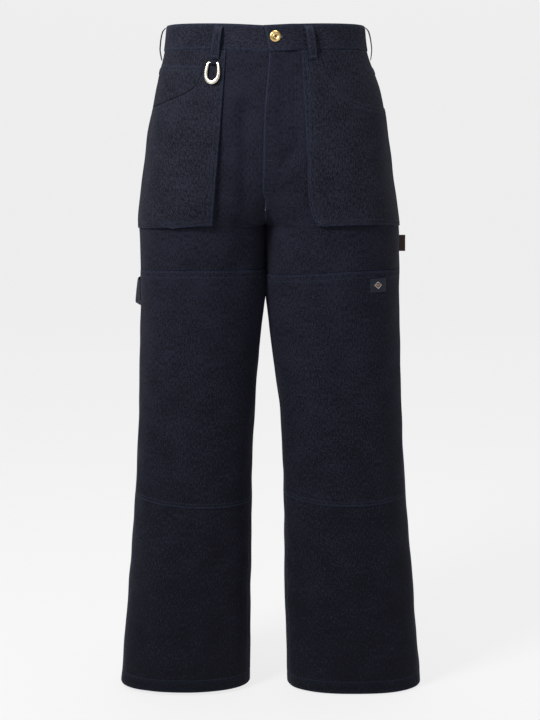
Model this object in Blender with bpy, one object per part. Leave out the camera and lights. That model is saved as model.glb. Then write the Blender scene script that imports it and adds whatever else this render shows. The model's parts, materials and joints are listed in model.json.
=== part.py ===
# Straight work jeans in dark raw denim, filled out as if worn, with nobody inside.
# Metres, +Z up. The origin is the middle of the waist at the top of the waistband, the front faces -Y,
# and the wearer's left is +X. Every cloth piece is a thin wall over one body surface, found from the
# table of sections, so pieces that lie on a panel are made from its points, moved out.

import math
from functools import lru_cache

import bmesh
import bpy
import numpy as np
from mathutils import Matrix, Vector

RIGHT, LEFT = -1, 1

GAP = 0.0003  # between pieces that are sewn together
HALF_GAP = GAP / 2
WALL = 0.0015  # denim panel
PATCH_WALL = 0.0012  # knee panels, pocket layers
BAND_HEIGHT = 0.040
BAND_OUT = 0.0012  # the waistband stands this far outside the panels
BAND_IN = 0.0018
BAND_EDGE = 0.0008  # how much its folded edges are rounded
CROTCH_Z = -0.312
RISE_CURVE_TOP = -0.190  # the front and back start to curve under here
RISE_POWER = 2.5
OVAL_POWER = 2.25
HEM_Z = {RIGHT: -1.0815, LEFT: -1.0845}
HEM_DEPTH = 0.022
HEM_WALL = 0.0030
SIDE_Y = 0.006  # where the sides of a section are, front to back
SIDE_SEAM_AHEAD = 0.030  # the outseam runs this far in front of the side
INSEAM_AHEAD = 0.025
INSEAM_SETTLED_Z = -0.370
LEG_CENTRED_Z = 0.30  # this far under the waist the middle of each half is the middle of a leg
NORMAL_STEP = 0.002

FLY_LAP_LIFT = 0.0021
FLY_UNDERLAP = 0.012
FLY_LAP_ENDS = (0.014, 0.022)  # behind its edge the lap starts to come down, and over this length
UNDERLAP_NARROWS_Z = -0.195
UNDERLAP_END_Z = -0.240
FLY_END_Z = -0.255
FLY_CLOSED_Z = -0.272
FLY_FLAT_Z = -0.300
FLY_EDGE = ((0.0, 0.0060), (-0.040, 0.0060), (-0.129, -0.0014), (-0.205, -0.0035), (-0.255, -0.0052))
BAND_LAP_LIFT = BAND_OUT + BAND_IN + GAP
BAND_LAP_ENDS = (0.038, 0.018)
BAND_UNDERLAP = 0.035
BAND_END_TOP_X = -0.002
BAND_END_BOTTOM_X = 0.006
BAND_DEPTHS = (0.0, 0.0015, 0.020, BAND_HEIGHT - 0.0015, BAND_HEIGHT)
BAND_SHARES = (0.0, 0.012, 0.03, 0.05, 0.075, 0.10, 0.135, 0.17, 0.215)  # closer near the lapped ends
BAND_FAR_SHARES = 13

# Half sections, from the waist to the hems. out and in are the sides of each leg, front and back are the
# depths of the cloth before and behind the side line.
SECTION_COLUMNS = ("z", "out_r", "out_l", "in_r", "in_l", "front", "back")
SECTIONS = (
    (0.020, 0.1550, 0.1550, 0.0, 0.0, 0.1020, 0.0990),
    (0.000, 0.1565, 0.1570, 0.0, 0.0, 0.1040, 0.1010),
    (-0.040, 0.1612, 0.1622, 0.0, 0.0, 0.1080, 0.1070),
    (-0.075, 0.1700, 0.1750, 0.0, 0.0, 0.1110, 0.1140),
    (-0.115, 0.1775, 0.1865, 0.0, 0.0, 0.1150, 0.1200),
    (-0.155, 0.1860, 0.1940, 0.0, 0.0, 0.1170, 0.1240),
    (-0.190, 0.1912, 0.1990, 0.0, 0.0, 0.1180, 0.1260),
    (-0.230, 0.1960, 0.2037, 0.0, 0.0, 0.1180, 0.1260),
    (-0.270, 0.2010, 0.2087, 0.0, 0.0, 0.1160, 0.1230),
    (-0.306, 0.2035, 0.2140, 0.0, 0.0, 0.1120, 0.1170),
    (-0.340, 0.2032, 0.2165, 0.0006, 0.0006, 0.1080, 0.1100),
    (-0.404, 0.2040, 0.2178, 0.0006, 0.0006, 0.1020, 0.1020),
    (-0.463, 0.2044, 0.2184, 0.0050, 0.0046, 0.0980, 0.0960),
    (-0.522, 0.2052, 0.2194, 0.0118, 0.0112, 0.0940, 0.0910),
    (-0.602, 0.2080, 0.2236, 0.0160, 0.0208, 0.0890, 0.0860),
    (-0.703, 0.2133, 0.2284, 0.0215, 0.0282, 0.0830, 0.0820),
    (-0.784, 0.2184, 0.2340, 0.0230, 0.0300, 0.0800, 0.0790),
    (-0.887, 0.2263, 0.2440, 0.0243, 0.0308, 0.0760, 0.0750),
    (-0.970, 0.2345, 0.2510, 0.0250, 0.0330, 0.0730, 0.0730),
    (-1.090, 0.2460, 0.2615, 0.0262, 0.0360, 0.0700, 0.0710),
)

# How far the waist edge is above or below level, by the share of the way round from front to back.
WAIST_EDGE = ((0.0, -0.0008), (0.14, 0.0020), (0.35, 0.0028), (0.50, 0.0010), (0.75, 0.0040), (1.0, 0.0070))

# The largest folds: soft ridges (height above 0) and troughs, each along a line on the front or the back.
FOLD_CLEAR = 0.014  # no fold moves the cloth nearer the mid-plane than this, above the crotch
FOLD_FADE = 0.024
FOLD_COLUMNS = ("side", "face", "x0", "z0", "x1", "z1", "height", "width")
FOLDS = (
    (LEFT, "front", 0.0260, -0.205, 0.0480, -0.190, -0.0024, 0.010),
    (LEFT, "front", 0.0260, -0.242, 0.0560, -0.222, 0.0024, 0.011),
    (LEFT, "front", 0.0480, -0.320, 0.0300, -0.480, 0.0030, 0.022),
    (LEFT, "front", 0.1250, -0.500, 0.1400, -0.700, -0.0030, 0.024),
    (LEFT, "front", 0.0800, -0.800, 0.0900, -1.040, 0.0026, 0.020),
    (LEFT, "front", 0.1700, -0.820, 0.1850, -1.060, -0.0030, 0.022),
    (RIGHT, "front", -0.0280, -0.130, -0.0220, -0.300, -0.0050, 0.018),
    (RIGHT, "front", -0.0300, -0.320, -0.0420, -0.460, -0.0050, 0.022),
    (RIGHT, "front", -0.0950, -0.480, -0.1080, -0.680, 0.0026, 0.024),
    (RIGHT, "front", -0.1500, -0.560, -0.1620, -0.740, -0.0026, 0.022),
    (RIGHT, "front", -0.0700, -0.800, -0.0800, -1.040, -0.0028, 0.020),
    (RIGHT, "front", -0.1600, -0.820, -0.1750, -1.050, 0.0028, 0.022),
    (LEFT, "back", 0.0300, -0.300, 0.1300, -0.335, -0.0045, 0.014),
    (LEFT, "back", 0.0400, -0.345, 0.1500, -0.375, 0.0035, 0.014),
    (LEFT, "back", 0.0600, -0.590, 0.1800, -0.560, -0.0040, 0.016),
    (LEFT, "back", 0.0700, -0.640, 0.1900, -0.655, -0.0032, 0.014),
    (LEFT, "back", 0.1300, -0.720, 0.1500, -1.020, 0.0030, 0.024),
    (RIGHT, "back", -0.0350, -0.312, -0.1250, -0.330, -0.0040, 0.014),
    (RIGHT, "back", -0.0450, -0.355, -0.1400, -0.368, 0.0032, 0.013),
    (RIGHT, "back", -0.0600, -0.575, -0.1700, -0.590, -0.0038, 0.015),
    (RIGHT, "back", -0.0500, -0.650, -0.1600, -0.625, -0.0034, 0.015),
    (RIGHT, "back", -0.1200, -0.700, -0.1300, -1.000, -0.0030, 0.024),
)

# Rows of the leg panels, from just under the waist to the hem fold.
UPPER_ROWS = (-0.058, -0.075, -0.100, -0.130, -0.160, -0.190, -0.215, -0.235, -0.255, -0.272, -0.288)
CROTCH_ROWS = (-0.300, -0.308, -0.3115, -0.3140, -0.325, -0.345, -0.370)
LEG_ROWS = (-0.405, -0.440, -0.480, -0.525, -0.570, -0.620, -0.670, -0.720, -0.770, -0.830, -0.890, -0.950)
LOW_ROWS = (-1.010,)
HEM_EDGE_ROW = 0.001  # above the hem's end
SEAT_ROWS = 3  # from the yoke down to the first shared row
SEAT_JOINS_Z = -0.160
FRONT_COLUMNS = 12
BACK_COLUMNS = 13
FRONT_SPACING = 1.25  # over 1, so the columns are closer beside the fly

# Tool pockets: the free inner edge, the lower edge and the scooped opening, each as (x, z) on one side.
POCKETS = {
    RIGHT: {
        "inner": ((0.0596, -0.0300), (0.0709, -0.1715), (0.0839, -0.3055)),
        "under_inner": ((0.0606, -0.0300), (0.0719, -0.1715), (0.0849, -0.3050)),
        "lower": ((0.0839, -0.3055), (0.1400, -0.3105), (0.1960, -0.3170)),
        "under_lower": ((0.0849, -0.3045), (0.1400, -0.3095), (0.1960, -0.3160)),
        "scoop": (
            (0.0890, -0.0300), (0.0925, -0.0504), (0.0985, -0.0746), (0.1060, -0.0928),
            (0.1226, -0.1050), (0.1508, -0.1174), (0.1760, -0.1270),
        ),
        "stand_off": 0.0075,
    },
    LEFT: {
        "inner": ((0.0560, -0.0300), (0.0646, -0.0840), (0.0668, -0.1620), (0.0748, -0.2809), (0.0864, -0.3067)),
        "under_inner": (
            (0.0553, -0.0300), (0.0580, -0.0840), (0.0646, -0.1958), (0.0719, -0.2859), (0.0815, -0.3050),
        ),
        "lower": ((0.0864, -0.3067), (0.1351, -0.3062), (0.2060, -0.3130)),
        "under_lower": ((0.0815, -0.3050), (0.1351, -0.3052), (0.2060, -0.3120)),
        "scoop": (
            (0.0790, -0.0300), (0.0844, -0.0480), (0.0911, -0.0668), (0.1017, -0.0856),
            (0.1138, -0.0987), (0.1400, -0.1149), (0.1639, -0.1218), (0.1842, -0.1273),
        ),
        "stand_off": 0.0060,
    },
}
POCKET_HEIGHTS = (0.0, -0.330)  # the panel rows that its layers are made from
STAND_OFF_Z = (-0.050, -0.310)  # where a layer starts to hang off the thigh, and where it is fully off
STAND_OFF_SHARES = (0.30, 0.95)  # fully off up to the first share of the panel's width, on it from the second
STAND_OFF_POWER = 1.3
SCOOP_MARGIN = 0.002  # from the scoop's last point to the upper layer's top edge at the outseam
PAST_THE_SIDE = 0.040  # outlines run this far past the cloth's own edges
CUT_FRONT_Y = (-0.30, 0.05)  # what an outline cuts, front to back, on the front and on the back
CUT_BACK_Y = (0.001, 0.30)
OUTLINE_STEPS = 8
UNDER_LIFT = GAP
UPPER_LIFT = UNDER_LIFT + PATCH_WALL + GAP
POCKET_OUT = UPPER_LIFT + PATCH_WALL
COIN_TOP = ((0.0965, -0.0626), (0.1300, -0.0612), (0.1700, -0.0585))
COIN_MARGIN = 0.0012
COIN_WALL = 0.0010
COIN_HEIGHTS = (-0.050, -0.140)

# Knee panels: their upper and lower edges, as (share of the way from inseam to outseam, z).
KNEE_TOP = {
    RIGHT: ((0.0, -0.3830), (0.5, -0.3786), (1.0, -0.3838)),
    LEFT: ((0.0, -0.3912), (0.25, -0.3869), (0.65, -0.3799), (1.0, -0.3829)),
}
KNEE_BOTTOM = {
    RIGHT: ((0.0, -0.7674), (0.5, -0.7666), (1.0, -0.7572)),
    LEFT: ((0.0, -0.7560), (0.5, -0.7640), (1.0, -0.7590)),
}
KNEE_EDGE = 0.0025  # from the seams, so that the cloth under it shows as a line
KNEE_HEIGHTS = (-0.372, -0.772)

YOKE_Z = (-0.066, -0.106)  # at the side, at the back centre
YOKE_ROWS = 3
BACK_POCKET_TOP_ARC = (0.030, 0.182)  # behind the side
BACK_POCKET_LOW_ARC = (0.040, 0.172)
BACK_POCKET_TOP_Z = (-0.117, -0.130)
BACK_POCKET_SIDE_Z = -0.262
BACK_POCKET_POINT_Z = -0.282
BACK_POCKET_HEIGHTS = (-0.110, -0.290)

LOOP_WIDTH = 0.0125
LOOP_WALL = 0.0016
LOOP_STAND = ((0.0, 0.0), (0.10, 0.60), (0.25, 0.90), (0.50, 1.0), (0.72, 0.85), (0.90, 0.35), (1.0, 0.0))
LOOP_PEAK = 0.0078
LOOP_Z = (-0.0015, -0.0530)
LOOP_ROWS = 10
LOOP_COLUMNS = 2
FRONT_LOOPS = {RIGHT: (0.0702, 0.0765), LEFT: (0.0655, 0.0730)}  # x at the top, at the bottom
SIDE_LOOPS = {RIGHT: (0.000, -0.002), LEFT: (0.020, 0.008)}  # ahead of the side, at the top, at the bottom

BUTTON_X, BUTTON_Z = 0.0151, -0.0179
BUTTON_PROFILE = (
    (0.0013, 0.0010), (0.0022, 0.0024), (0.0042, 0.0033), (0.0064, 0.0030),
    (0.0081, 0.0018), (0.0086, 0.0008), (0.0078, 0.0),
)
BUTTON_STEPS = 20

# The horseshoe ring: half width and in-plane thickness by height under its bar.
RING_X = 0.0785
RING_BAR_Z = -0.0585
RING_HEIGHT = 0.0300  # from the bar to the middle of the metal at the bottom
RING_TIP = 0.0018  # the arms end this far above the bar
RING_TIP_HALF = 0.0078
RING_HALF = 0.0102
RING_WIDEST = 0.55  # share of the height at which it is widest
RING_TIP_WIDTH = 0.0040
RING_LOW_WIDTH = 0.0062
RING_BEND = 0.8  # under 1, so the bottom is rounder than a half circle's
RING_CLOSER = 1.15  # over 1, so the sections are closer at the bottom
RING_LOW_X = 0.0815  # where its bottom rests on the pocket
RING_OFF_POCKET = 0.0018
RING_DEPTH = 0.0032
RING_STEPS = 24
RING_SIDES = 8
BAR_RADIUS = 0.00125
BAR_SIDES = 12
BAR_PLAY = 0.00035
TAB_WALL = 0.0009
TAB_WIDTH = 0.0098
TAB_TOP_Z = -0.0534
EYE_STEPS = 14

HAMMER_Z = (-0.402, -0.4425)
HAMMER_ARC = (0.002, 0.112)  # behind the outseam
HAMMER_WALL = 0.0020
HAMMER_STAND = (0.0041, 0.0088)  # off the leg at the middle, upper edge and lower edge
HAMMER_FOOT = 0.0008
HAMMER_FLAT = 0.02  # share of its length at each end that lies flat
HAMMER_COLUMNS = 10
HAMMER_ROWS = 3

SIDE_TAB_Z = (-0.3315, -0.3580)
SIDE_TAB_REACH = 0.0100
SIDE_TAB_THICK = 0.0020
SIDE_TAB_COLUMN = 2
SIDE_TAB_GAP = 0.0004

LABEL_X = (0.1638, 0.1890)
LABEL_Z = (-0.3921, -0.4140)
LABEL_WALL = 0.0007
LABEL_LIFT = 2 * GAP + PATCH_WALL
LABEL_HEIGHTS = (-0.385, -0.420)

COLOURS = {  # base colour, roughness, metallic
    "denim": ((0.014, 0.016, 0.028), 0.85, 0.0),
    "pocket_denim": ((0.020, 0.022, 0.034), 0.85, 0.0),
    "band_denim": ((0.018, 0.020, 0.032), 0.85, 0.0),
    "brass": ((0.72, 0.50, 0.20), 0.32, 1.0),
    "pale_gold": ((0.86, 0.80, 0.66), 0.25, 1.0),
    "brown_tab": ((0.040, 0.020, 0.018), 0.70, 0.0),
    "label": ((0.016, 0.020, 0.045), 0.75, 0.0),
}


def clear_scene():
    for old in list(bpy.data.objects):
        bpy.data.objects.remove(old, do_unlink=True)


def material(name):
    made = bpy.data.materials.get(name)
    if made is None:
        made = bpy.data.materials.new(name)
        made.use_nodes = True
        colour, roughness, metallic = COLOURS[name]
        shader = made.node_tree.nodes["Principled BSDF"]
        shader.inputs["Base Color"].default_value = (*colour, 1.0)
        shader.inputs["Roughness"].default_value = roughness
        shader.inputs["Metallic"].default_value = metallic
    return made


def smooth_step(t):
    t = min(max(t, 0.0), 1.0)
    return t * t * (3 - 2 * t)


def along(points, at):
    """A smooth curve through (position, value) points, read at one position."""
    order = sorted(points)
    spots = [p[0] for p in order]
    values = [p[1] for p in order]
    at = min(max(at, spots[0]), spots[-1])
    slopes = [(values[i + 1] - values[i]) / (spots[i + 1] - spots[i]) for i in range(len(spots) - 1)]
    i = min(max(int(np.searchsorted(spots, at)) - 1, 0), len(slopes) - 1)
    start = slopes[i] if i == 0 else (slopes[i - 1] + slopes[i]) / 2
    end = slopes[i] if i == len(slopes) - 1 else (slopes[i] + slopes[i + 1]) / 2
    span = spots[i + 1] - spots[i]
    t = (at - spots[i]) / span
    h00 = 2 * t**3 - 3 * t**2 + 1
    h10 = t**3 - 2 * t**2 + t
    h01 = 3 * t**2 - 2 * t**3
    h11 = t**3 - t**2
    return h00 * values[i] + h10 * span * start + h01 * values[i + 1] + h11 * span * end


def straight(points, at):
    """The same with straight stretches between the points."""
    order = sorted(points)
    return float(np.interp(at, [p[0] for p in order], [p[1] for p in order]))


@lru_cache(maxsize=None)
def size_at(name, z):
    column = SECTION_COLUMNS.index(name)
    return along(tuple((row[0], row[column]) for row in SECTIONS), z)


def meeting(z):
    """The share of the depth that the front and the back still have on the mid-plane at this height."""
    down = min(max((RISE_CURVE_TOP - z) / (RISE_CURVE_TOP - CROTCH_Z), 0.0), 1.0)
    return (1 - down**RISE_POWER) ** (1 / RISE_POWER)


@lru_cache(maxsize=None)
def section(side, z):
    """Half a section at this height: x, y and the running length, from the front on the mid-plane (below
    the crotch, the inner side of the leg) round the outside to the back, and the length at the side."""
    out = size_at("out_r" if side == RIGHT else "out_l", z)
    inner = max(size_at("in_r" if side == RIGHT else "in_l", z), 0.0)
    front, back = size_at("front", z), size_at("back", z)
    meet = meeting(z)
    power = OVAL_POWER
    inner = inner if meet == 0 else 0.0
    centre = smooth_step(-z / LEG_CENTRED_Z) * (out + inner) / 2
    inner_end = (1 - meet**power) ** (1 / power)
    xs, ys = [], []
    quarter = np.linspace(0, math.pi / 2, 25)
    for angle in quarter[::-1]:
        across = math.sin(angle) ** (2 / power)
        deep = max(1 - (inner_end * across) ** power, 0.0) ** (1 / power)
        xs.append(centre - (centre - inner) * across)
        ys.append(SIDE_Y - front * deep)
    for angle in quarter[1:]:
        xs.append(centre + (out - centre) * math.sin(angle) ** (2 / power))
        ys.append(SIDE_Y - front * math.cos(angle) ** (2 / power))
    side_index = len(xs) - 1
    for angle in quarter[::-1][1:]:
        xs.append(centre + (out - centre) * math.sin(angle) ** (2 / power))
        ys.append(SIDE_Y + back * math.cos(angle) ** (2 / power))
    for angle in quarter[1:]:
        across = math.sin(angle) ** (2 / power)
        deep = max(1 - (inner_end * across) ** power, 0.0) ** (1 / power)
        xs.append(centre - (centre - inner) * across)
        ys.append(SIDE_Y + back * deep)
    xs, ys = np.array(xs), np.array(ys)
    length = np.concatenate([[0.0], np.cumsum(np.hypot(np.diff(xs), np.diff(ys)))])
    return xs, ys, length, float(length[side_index])


def total_arc(side, z):
    return float(section(side, z)[2][-1])


def side_arc(side, z):
    return section(side, z)[3]


def fold_height(side, x, z, facing):
    """How far the folds move the cloth out at a point; facing is how much it faces -Y (+1) or +Y (-1)."""
    moved = 0.0
    free = smooth_step((abs(x) - FOLD_CLEAR) / FOLD_FADE) if z > CROTCH_Z else 1.0
    for fold_side, face, x0, z0, x1, z1, height, width in FOLDS:
        weight = max(facing if face == "front" else -facing, 0.0)
        if fold_side != side or weight == 0.0:
            continue
        run = np.array([x1 - x0, z1 - z0])
        off = np.array([x - x0, z - z0])
        share = float(np.dot(off, run) / np.dot(run, run))
        beyond = max(0.0, -share, share - 1) * float(np.hypot(*run))
        near = off - min(max(share, 0.0), 1.0) * run
        apart = float(np.hypot(*near)) if beyond == 0 else math.hypot(float(np.hypot(*near)), beyond)
        moved += free * height * weight * math.exp(-((apart / width) ** 2))
    return moved


@lru_cache(maxsize=None)
def bare_point(side, arc, z):
    """A point of the body surface, without folds, in the garment's frame."""
    xs, ys, length, _ = section(side, z)
    whole = length[-1]
    if z > CROTCH_Z:
        if arc < 0:
            return bare_point(-side, -arc, z)
        if arc > whole:
            return bare_point(-side, total_arc(-side, z) - (arc - whole), z)
    else:
        arc = arc % whole
    x = float(np.interp(arc, length, xs))
    y = float(np.interp(arc, length, ys))
    return np.array([side * x, y, z])


def bare_normal(side, arc, z):
    along_arc = bare_point(side, arc + NORMAL_STEP, z) - bare_point(side, arc - NORMAL_STEP, z)
    up = bare_point(side, arc, z + NORMAL_STEP) - bare_point(side, arc, z - NORMAL_STEP)
    if z - NORMAL_STEP < CROTCH_Z < z + NORMAL_STEP:
        up = np.array([0.0, 0.0, 1.0])
    normal = np.cross(along_arc, up) * side
    return normal / np.linalg.norm(normal)


@lru_cache(maxsize=None)
def body(side, arc, z):
    """A point of the body surface with its folds, and the way out from the cloth there."""
    point = bare_point(side, arc, z)
    out = bare_normal(side, arc, z)
    return point + out * fold_height(LEFT if point[0] > 0 else RIGHT, point[0], z, -out[1]), out


def at_x(side, x, z):
    """The running length at which the front surface is this far from the mid-plane."""
    low, high = 0.0, side_arc(side, z)
    for _ in range(30):
        middle = (low + high) / 2
        if side * bare_point(side, middle, z)[0] < x:
            low = middle
        else:
            high = middle
    return (low + high) / 2


def inseam_arc(z):
    if z > CROTCH_Z:
        return 0.0
    return INSEAM_AHEAD * smooth_step((CROTCH_Z - z) / (CROTCH_Z - INSEAM_SETTLED_Z))


def outseam_arc(side, z):
    return side_arc(side, z) - SIDE_SEAM_AHEAD


def front_start(side, z):
    """Where a front panel begins: the fly's edge, its underlap, the centre seam or the inseam."""
    if z <= FLY_FLAT_Z:
        return inseam_arc(z) + HALF_GAP
    edge = along(FLY_EDGE, z)
    if side == LEFT:
        shut = smooth_step((FLY_END_Z - z) / (FLY_END_Z - FLY_CLOSED_Z))
        return edge * (1 - shut) + HALF_GAP * shut
    narrowed = smooth_step((UNDERLAP_NARROWS_Z - z) / (UNDERLAP_NARROWS_Z - UNDERLAP_END_Z))
    return -(edge + FLY_UNDERLAP) * (1 - narrowed) + HALF_GAP * narrowed


def fly_lift(arc, z):
    """The wearer's left front lies on the right one as far down as the fly goes."""
    fade = 1 - smooth_step((FLY_CLOSED_Z - z) / (FLY_CLOSED_Z - FLY_FLAT_Z))
    past = arc - front_start(LEFT, z)
    return FLY_LAP_LIFT * fade * (1 - smooth_step((past - FLY_LAP_ENDS[0]) / FLY_LAP_ENDS[1]))


def waist_edge(side, arc):
    """The height of the waistband's top, over level, at this running length along its lower edge."""
    if arc < 0:
        return waist_edge(-side, -arc)
    return along(WAIST_EDGE, arc / total_arc(side, -BAND_HEIGHT))


def front_arc(side, share, z):
    """A point on a front panel by its share of the way from its inner edge to the outseam."""
    start = front_start(side, z)
    return start + share * (outseam_arc(side, z) - HALF_GAP - start)


def back_arc(side, share, z):
    start = outseam_arc(side, z) + HALF_GAP
    return start + share * (total_arc(side, z) + inseam_arc(z) - HALF_GAP - start)


def add_mesh(name, points, faces, colour, smooth_angle=35):
    mesh = bpy.data.meshes.new(name)
    mesh.from_pydata([tuple(map(float, p)) for p in points], [], faces)
    work = bmesh.new()
    work.from_mesh(mesh)
    bmesh.ops.recalc_face_normals(work, faces=work.faces)
    work.to_mesh(mesh)
    work.free()
    mesh.shade_smooth()
    mesh.set_sharp_from_angle(angle=math.radians(smooth_angle))
    mesh.materials.append(material(colour))
    made = bpy.data.objects.new(name, mesh)
    bpy.context.scene.collection.objects.link(made)
    return made


def grid_shell(name, outer, inner, colour):
    """A closed wall between two grids of points, outer[i][j] and inner[i][j]."""
    columns, rows = len(outer), len(outer[0])
    points = [p for line in outer for p in line] + [p for line in inner for p in line]
    half = columns * rows

    faces = []
    for i in range(columns - 1):
        for j in range(rows - 1):
            a, b = i * rows + j, (i + 1) * rows + j
            for triangle in ((a, b, b + 1), (a, b + 1, a + 1)):
                faces.append(triangle)
                faces.append(tuple(corner + half for corner in triangle[::-1]))
    rim = [i * rows for i in range(columns)]
    rim += [(columns - 1) * rows + j for j in range(1, rows)]
    rim += [i * rows + rows - 1 for i in range(columns - 2, -1, -1)]
    rim += list(range(rows - 2, 0, -1))
    for a, b in zip(rim, rim[1:] + rim[:1]):
        faces.append([a, a + half, b + half, b])
    return add_mesh(name, points, faces, colour)


def cloth(name, side, spots, wall, lift, colour):
    """A wall over the body surface: spots[i][j] is (arc, z), lift(i, j) is its inner face's height."""
    outer, inner = [], []
    for i, line in enumerate(spots):
        outer.append([])
        inner.append([])
        for j, (arc, z) in enumerate(line):
            point, out = body(side, arc, z)
            under = lift(i, j)
            thick = wall(i, j) if callable(wall) else wall
            outer[-1].append(point + out * (under + thick))
            inner[-1].append(point + out * under)
    return grid_shell(name, outer, inner, colour)


def panel_rows(side, upper):
    hem = HEM_Z[side]
    return upper + CROTCH_ROWS + LEG_ROWS + LOW_ROWS + (hem + HEM_DEPTH, hem + HEM_EDGE_ROW, hem)


def panel_wall(side, z):
    """The wall of a leg panel, thicker where the hem is turned up inside."""
    return HEM_WALL if z < HEM_Z[side] + HEM_DEPTH else WALL


def word_of(side):
    return "right" if side == RIGHT else "left"


@lru_cache(maxsize=None)
def front_grid(side):
    """The columns of a front panel: (share, ((arc, z), ...)) from the fly or inseam to the outseam."""
    columns = []
    for i in range(FRONT_COLUMNS + 1):
        share = (i / FRONT_COLUMNS) ** FRONT_SPACING
        edge = waist_edge(side, front_arc(side, share, -BAND_HEIGHT)) - BAND_HEIGHT - GAP
        rows = (edge,) + panel_rows(side, UPPER_ROWS)
        columns.append((share, tuple((front_arc(side, share, z), z) for z in rows)))
    return tuple(columns)


@lru_cache(maxsize=None)
def back_grid(side):
    """The same for a back panel, from the outseam to the centre seam or inseam."""
    lower = tuple(z for z in UPPER_ROWS if z < SEAT_JOINS_Z)
    columns = []
    for i in range(BACK_COLUMNS + 1):
        share = i / BACK_COLUMNS
        seam = yoke_z(share) - HALF_GAP
        upper = tuple(seam + (SEAT_JOINS_Z - seam) * k / SEAT_ROWS for k in range(SEAT_ROWS + 1))
        rows = panel_rows(side, upper + lower)
        columns.append((share, tuple((back_arc(side, share, z), z) for z in rows)))
    return tuple(columns)


def make_panel(side, face):
    grid = front_grid(side) if face == "front" else back_grid(side)
    spots = [line for _, line in grid]

    def lift(i, j):
        arc, z = spots[i][j]
        lap = fly_lift(arc, z) if face == "front" and side == LEFT else 0.0
        return lap - panel_wall(side, z)

    def wall(i, j):
        return panel_wall(side, spots[i][j][1])

    cloth(f"{face}_{word_of(side)}", side, spots, wall, lift, "denim")


def make_layer(name, side, face, heights, lift, wall, colour, inset=0.0):
    """A piece that lies on a panel, made from the panel's own points between two heights, moved out."""
    grid = front_grid(side) if face == "front" else back_grid(side)
    levels = [z for _, z in grid[-1][1]]
    first = max((j for j, z in enumerate(levels) if z >= heights[0]), default=0)
    last = min(j for j, z in enumerate(levels) if z <= heights[1])
    outer, inner = [], []
    for share, line in grid:
        outer.append([])
        inner.append([])
        for arc, z in line[first : last + 1]:
            point, out = body(side, arc, z)
            under = lift(share, z)
            outer[-1].append(point + out * (under + wall))
            inner[-1].append(point + out * under)
    if inset:
        for skin in (outer, inner):
            for edge, beside in ((0, 1), (-1, -2)):
                for j, point in enumerate(skin[edge]):
                    inward = skin[beside][j] - point
                    skin[edge][j] = point + inward * inset / np.linalg.norm(inward)
    return grid_shell(name, outer, inner, colour)


def trim(piece, outline, side, behind=False):
    """Keeps what lies inside an outline of (x, z) points, seen from the front."""
    near, far = CUT_BACK_Y if behind else CUT_FRONT_Y
    count = len(outline)
    points = [(side * x, y, z) for y in (near, far) for x, z in outline]
    faces = [list(range(count)), list(range(count, 2 * count))]
    faces += [[k, (k + 1) % count, (k + 1) % count + count, k + count] for k in range(count)]
    cutter = add_mesh(f"{piece.name}_outline", points, faces, "label")
    cutter.hide_render = True
    cutter.display_type = "WIRE"
    keep = piece.modifiers.new("outline", "BOOLEAN")
    keep.operation = "INTERSECT"
    keep.solver = "EXACT"
    keep.object = cutter


def curve_down(edge):
    """Points down an edge given as (x, z), from its first to its last."""
    heights = [(z, x) for x, z in edge]
    top, low = edge[0][1], edge[-1][1]
    steps = [top + (low - top) * k / OUTLINE_STEPS for k in range(OUTLINE_STEPS + 1)]
    return [(along(heights, z), z) for z in steps]


def curve_across(edge):
    """Points along an edge given as (x, z), by even steps of x."""
    first, last = edge[0][0], edge[-1][0]
    steps = [first + (last - first) * k / OUTLINE_STEPS for k in range(OUTLINE_STEPS + 1)]
    return [(x, along(edge, x)) for x in steps]


def yoke_z(share):
    return YOKE_Z[0] + (YOKE_Z[1] - YOKE_Z[0]) * share


def make_yoke(side):
    spots = []
    for i in range(BACK_COLUMNS + 1):
        share = i / BACK_COLUMNS
        top = waist_edge(side, back_arc(side, share, -BAND_HEIGHT)) - BAND_HEIGHT - GAP
        low = yoke_z(share) + HALF_GAP
        rows = [top + (low - top) * k / YOKE_ROWS for k in range(YOKE_ROWS + 1)]
        spots.append([(back_arc(side, share, z), z) for z in rows])
    cloth(f"yoke_{word_of(side)}", side, spots, WALL, lambda i, j: -WALL, "denim")


def band_stations():
    """(side, share) round the waist: the wearer's left end, the back, and the end that lies under it."""
    last = BAND_SHARES[-1]
    rest = [last + (1 - last) * k / BAND_FAR_SHARES for k in range(1, BAND_FAR_SHARES + 1)]
    shares = list(BAND_SHARES) + rest
    return [(LEFT, share) for share in shares] + [(RIGHT, share) for share in shares[::-1][1:]]


def make_waistband():
    outer, inner = [], []
    for side, share in band_stations():
        outer.append([])
        inner.append([])
        for depth in BAND_DEPTHS:
            if side == LEFT:
                end = BAND_END_TOP_X + (BAND_END_BOTTOM_X - BAND_END_TOP_X) * depth / BAND_HEIGHT
            else:
                end = -BAND_UNDERLAP
            level = -depth
            arc = end + share * (total_arc(side, level) - end)
            z = waist_edge(side, arc * total_arc(side, -BAND_HEIGHT) / total_arc(side, level)) - depth
            point, out = body(side, arc, z)
            lap = 0.0
            if side == LEFT:
                lap = BAND_LAP_LIFT * (1 - smooth_step((arc - BAND_LAP_ENDS[0]) / BAND_LAP_ENDS[1]))
            rounding = BAND_EDGE if depth in (0.0, BAND_HEIGHT) else 0.0
            outer[-1].append(point + out * (BAND_OUT + lap - rounding))
            inner[-1].append(point + out * (lap - BAND_IN + rounding))
    grid_shell("waistband", outer, inner, "band_denim")


def stand_off(side, share, z):
    """How far the free part of a tool pocket hangs off the thigh."""
    top, low = STAND_OFF_Z
    near, far = STAND_OFF_SHARES
    inward = 1 - min(max((share - near) / (far - near), 0.0), 1.0)
    return POCKETS[side]["stand_off"] * smooth_step((top - z) / (top - low)) * inward**STAND_OFF_POWER


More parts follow.
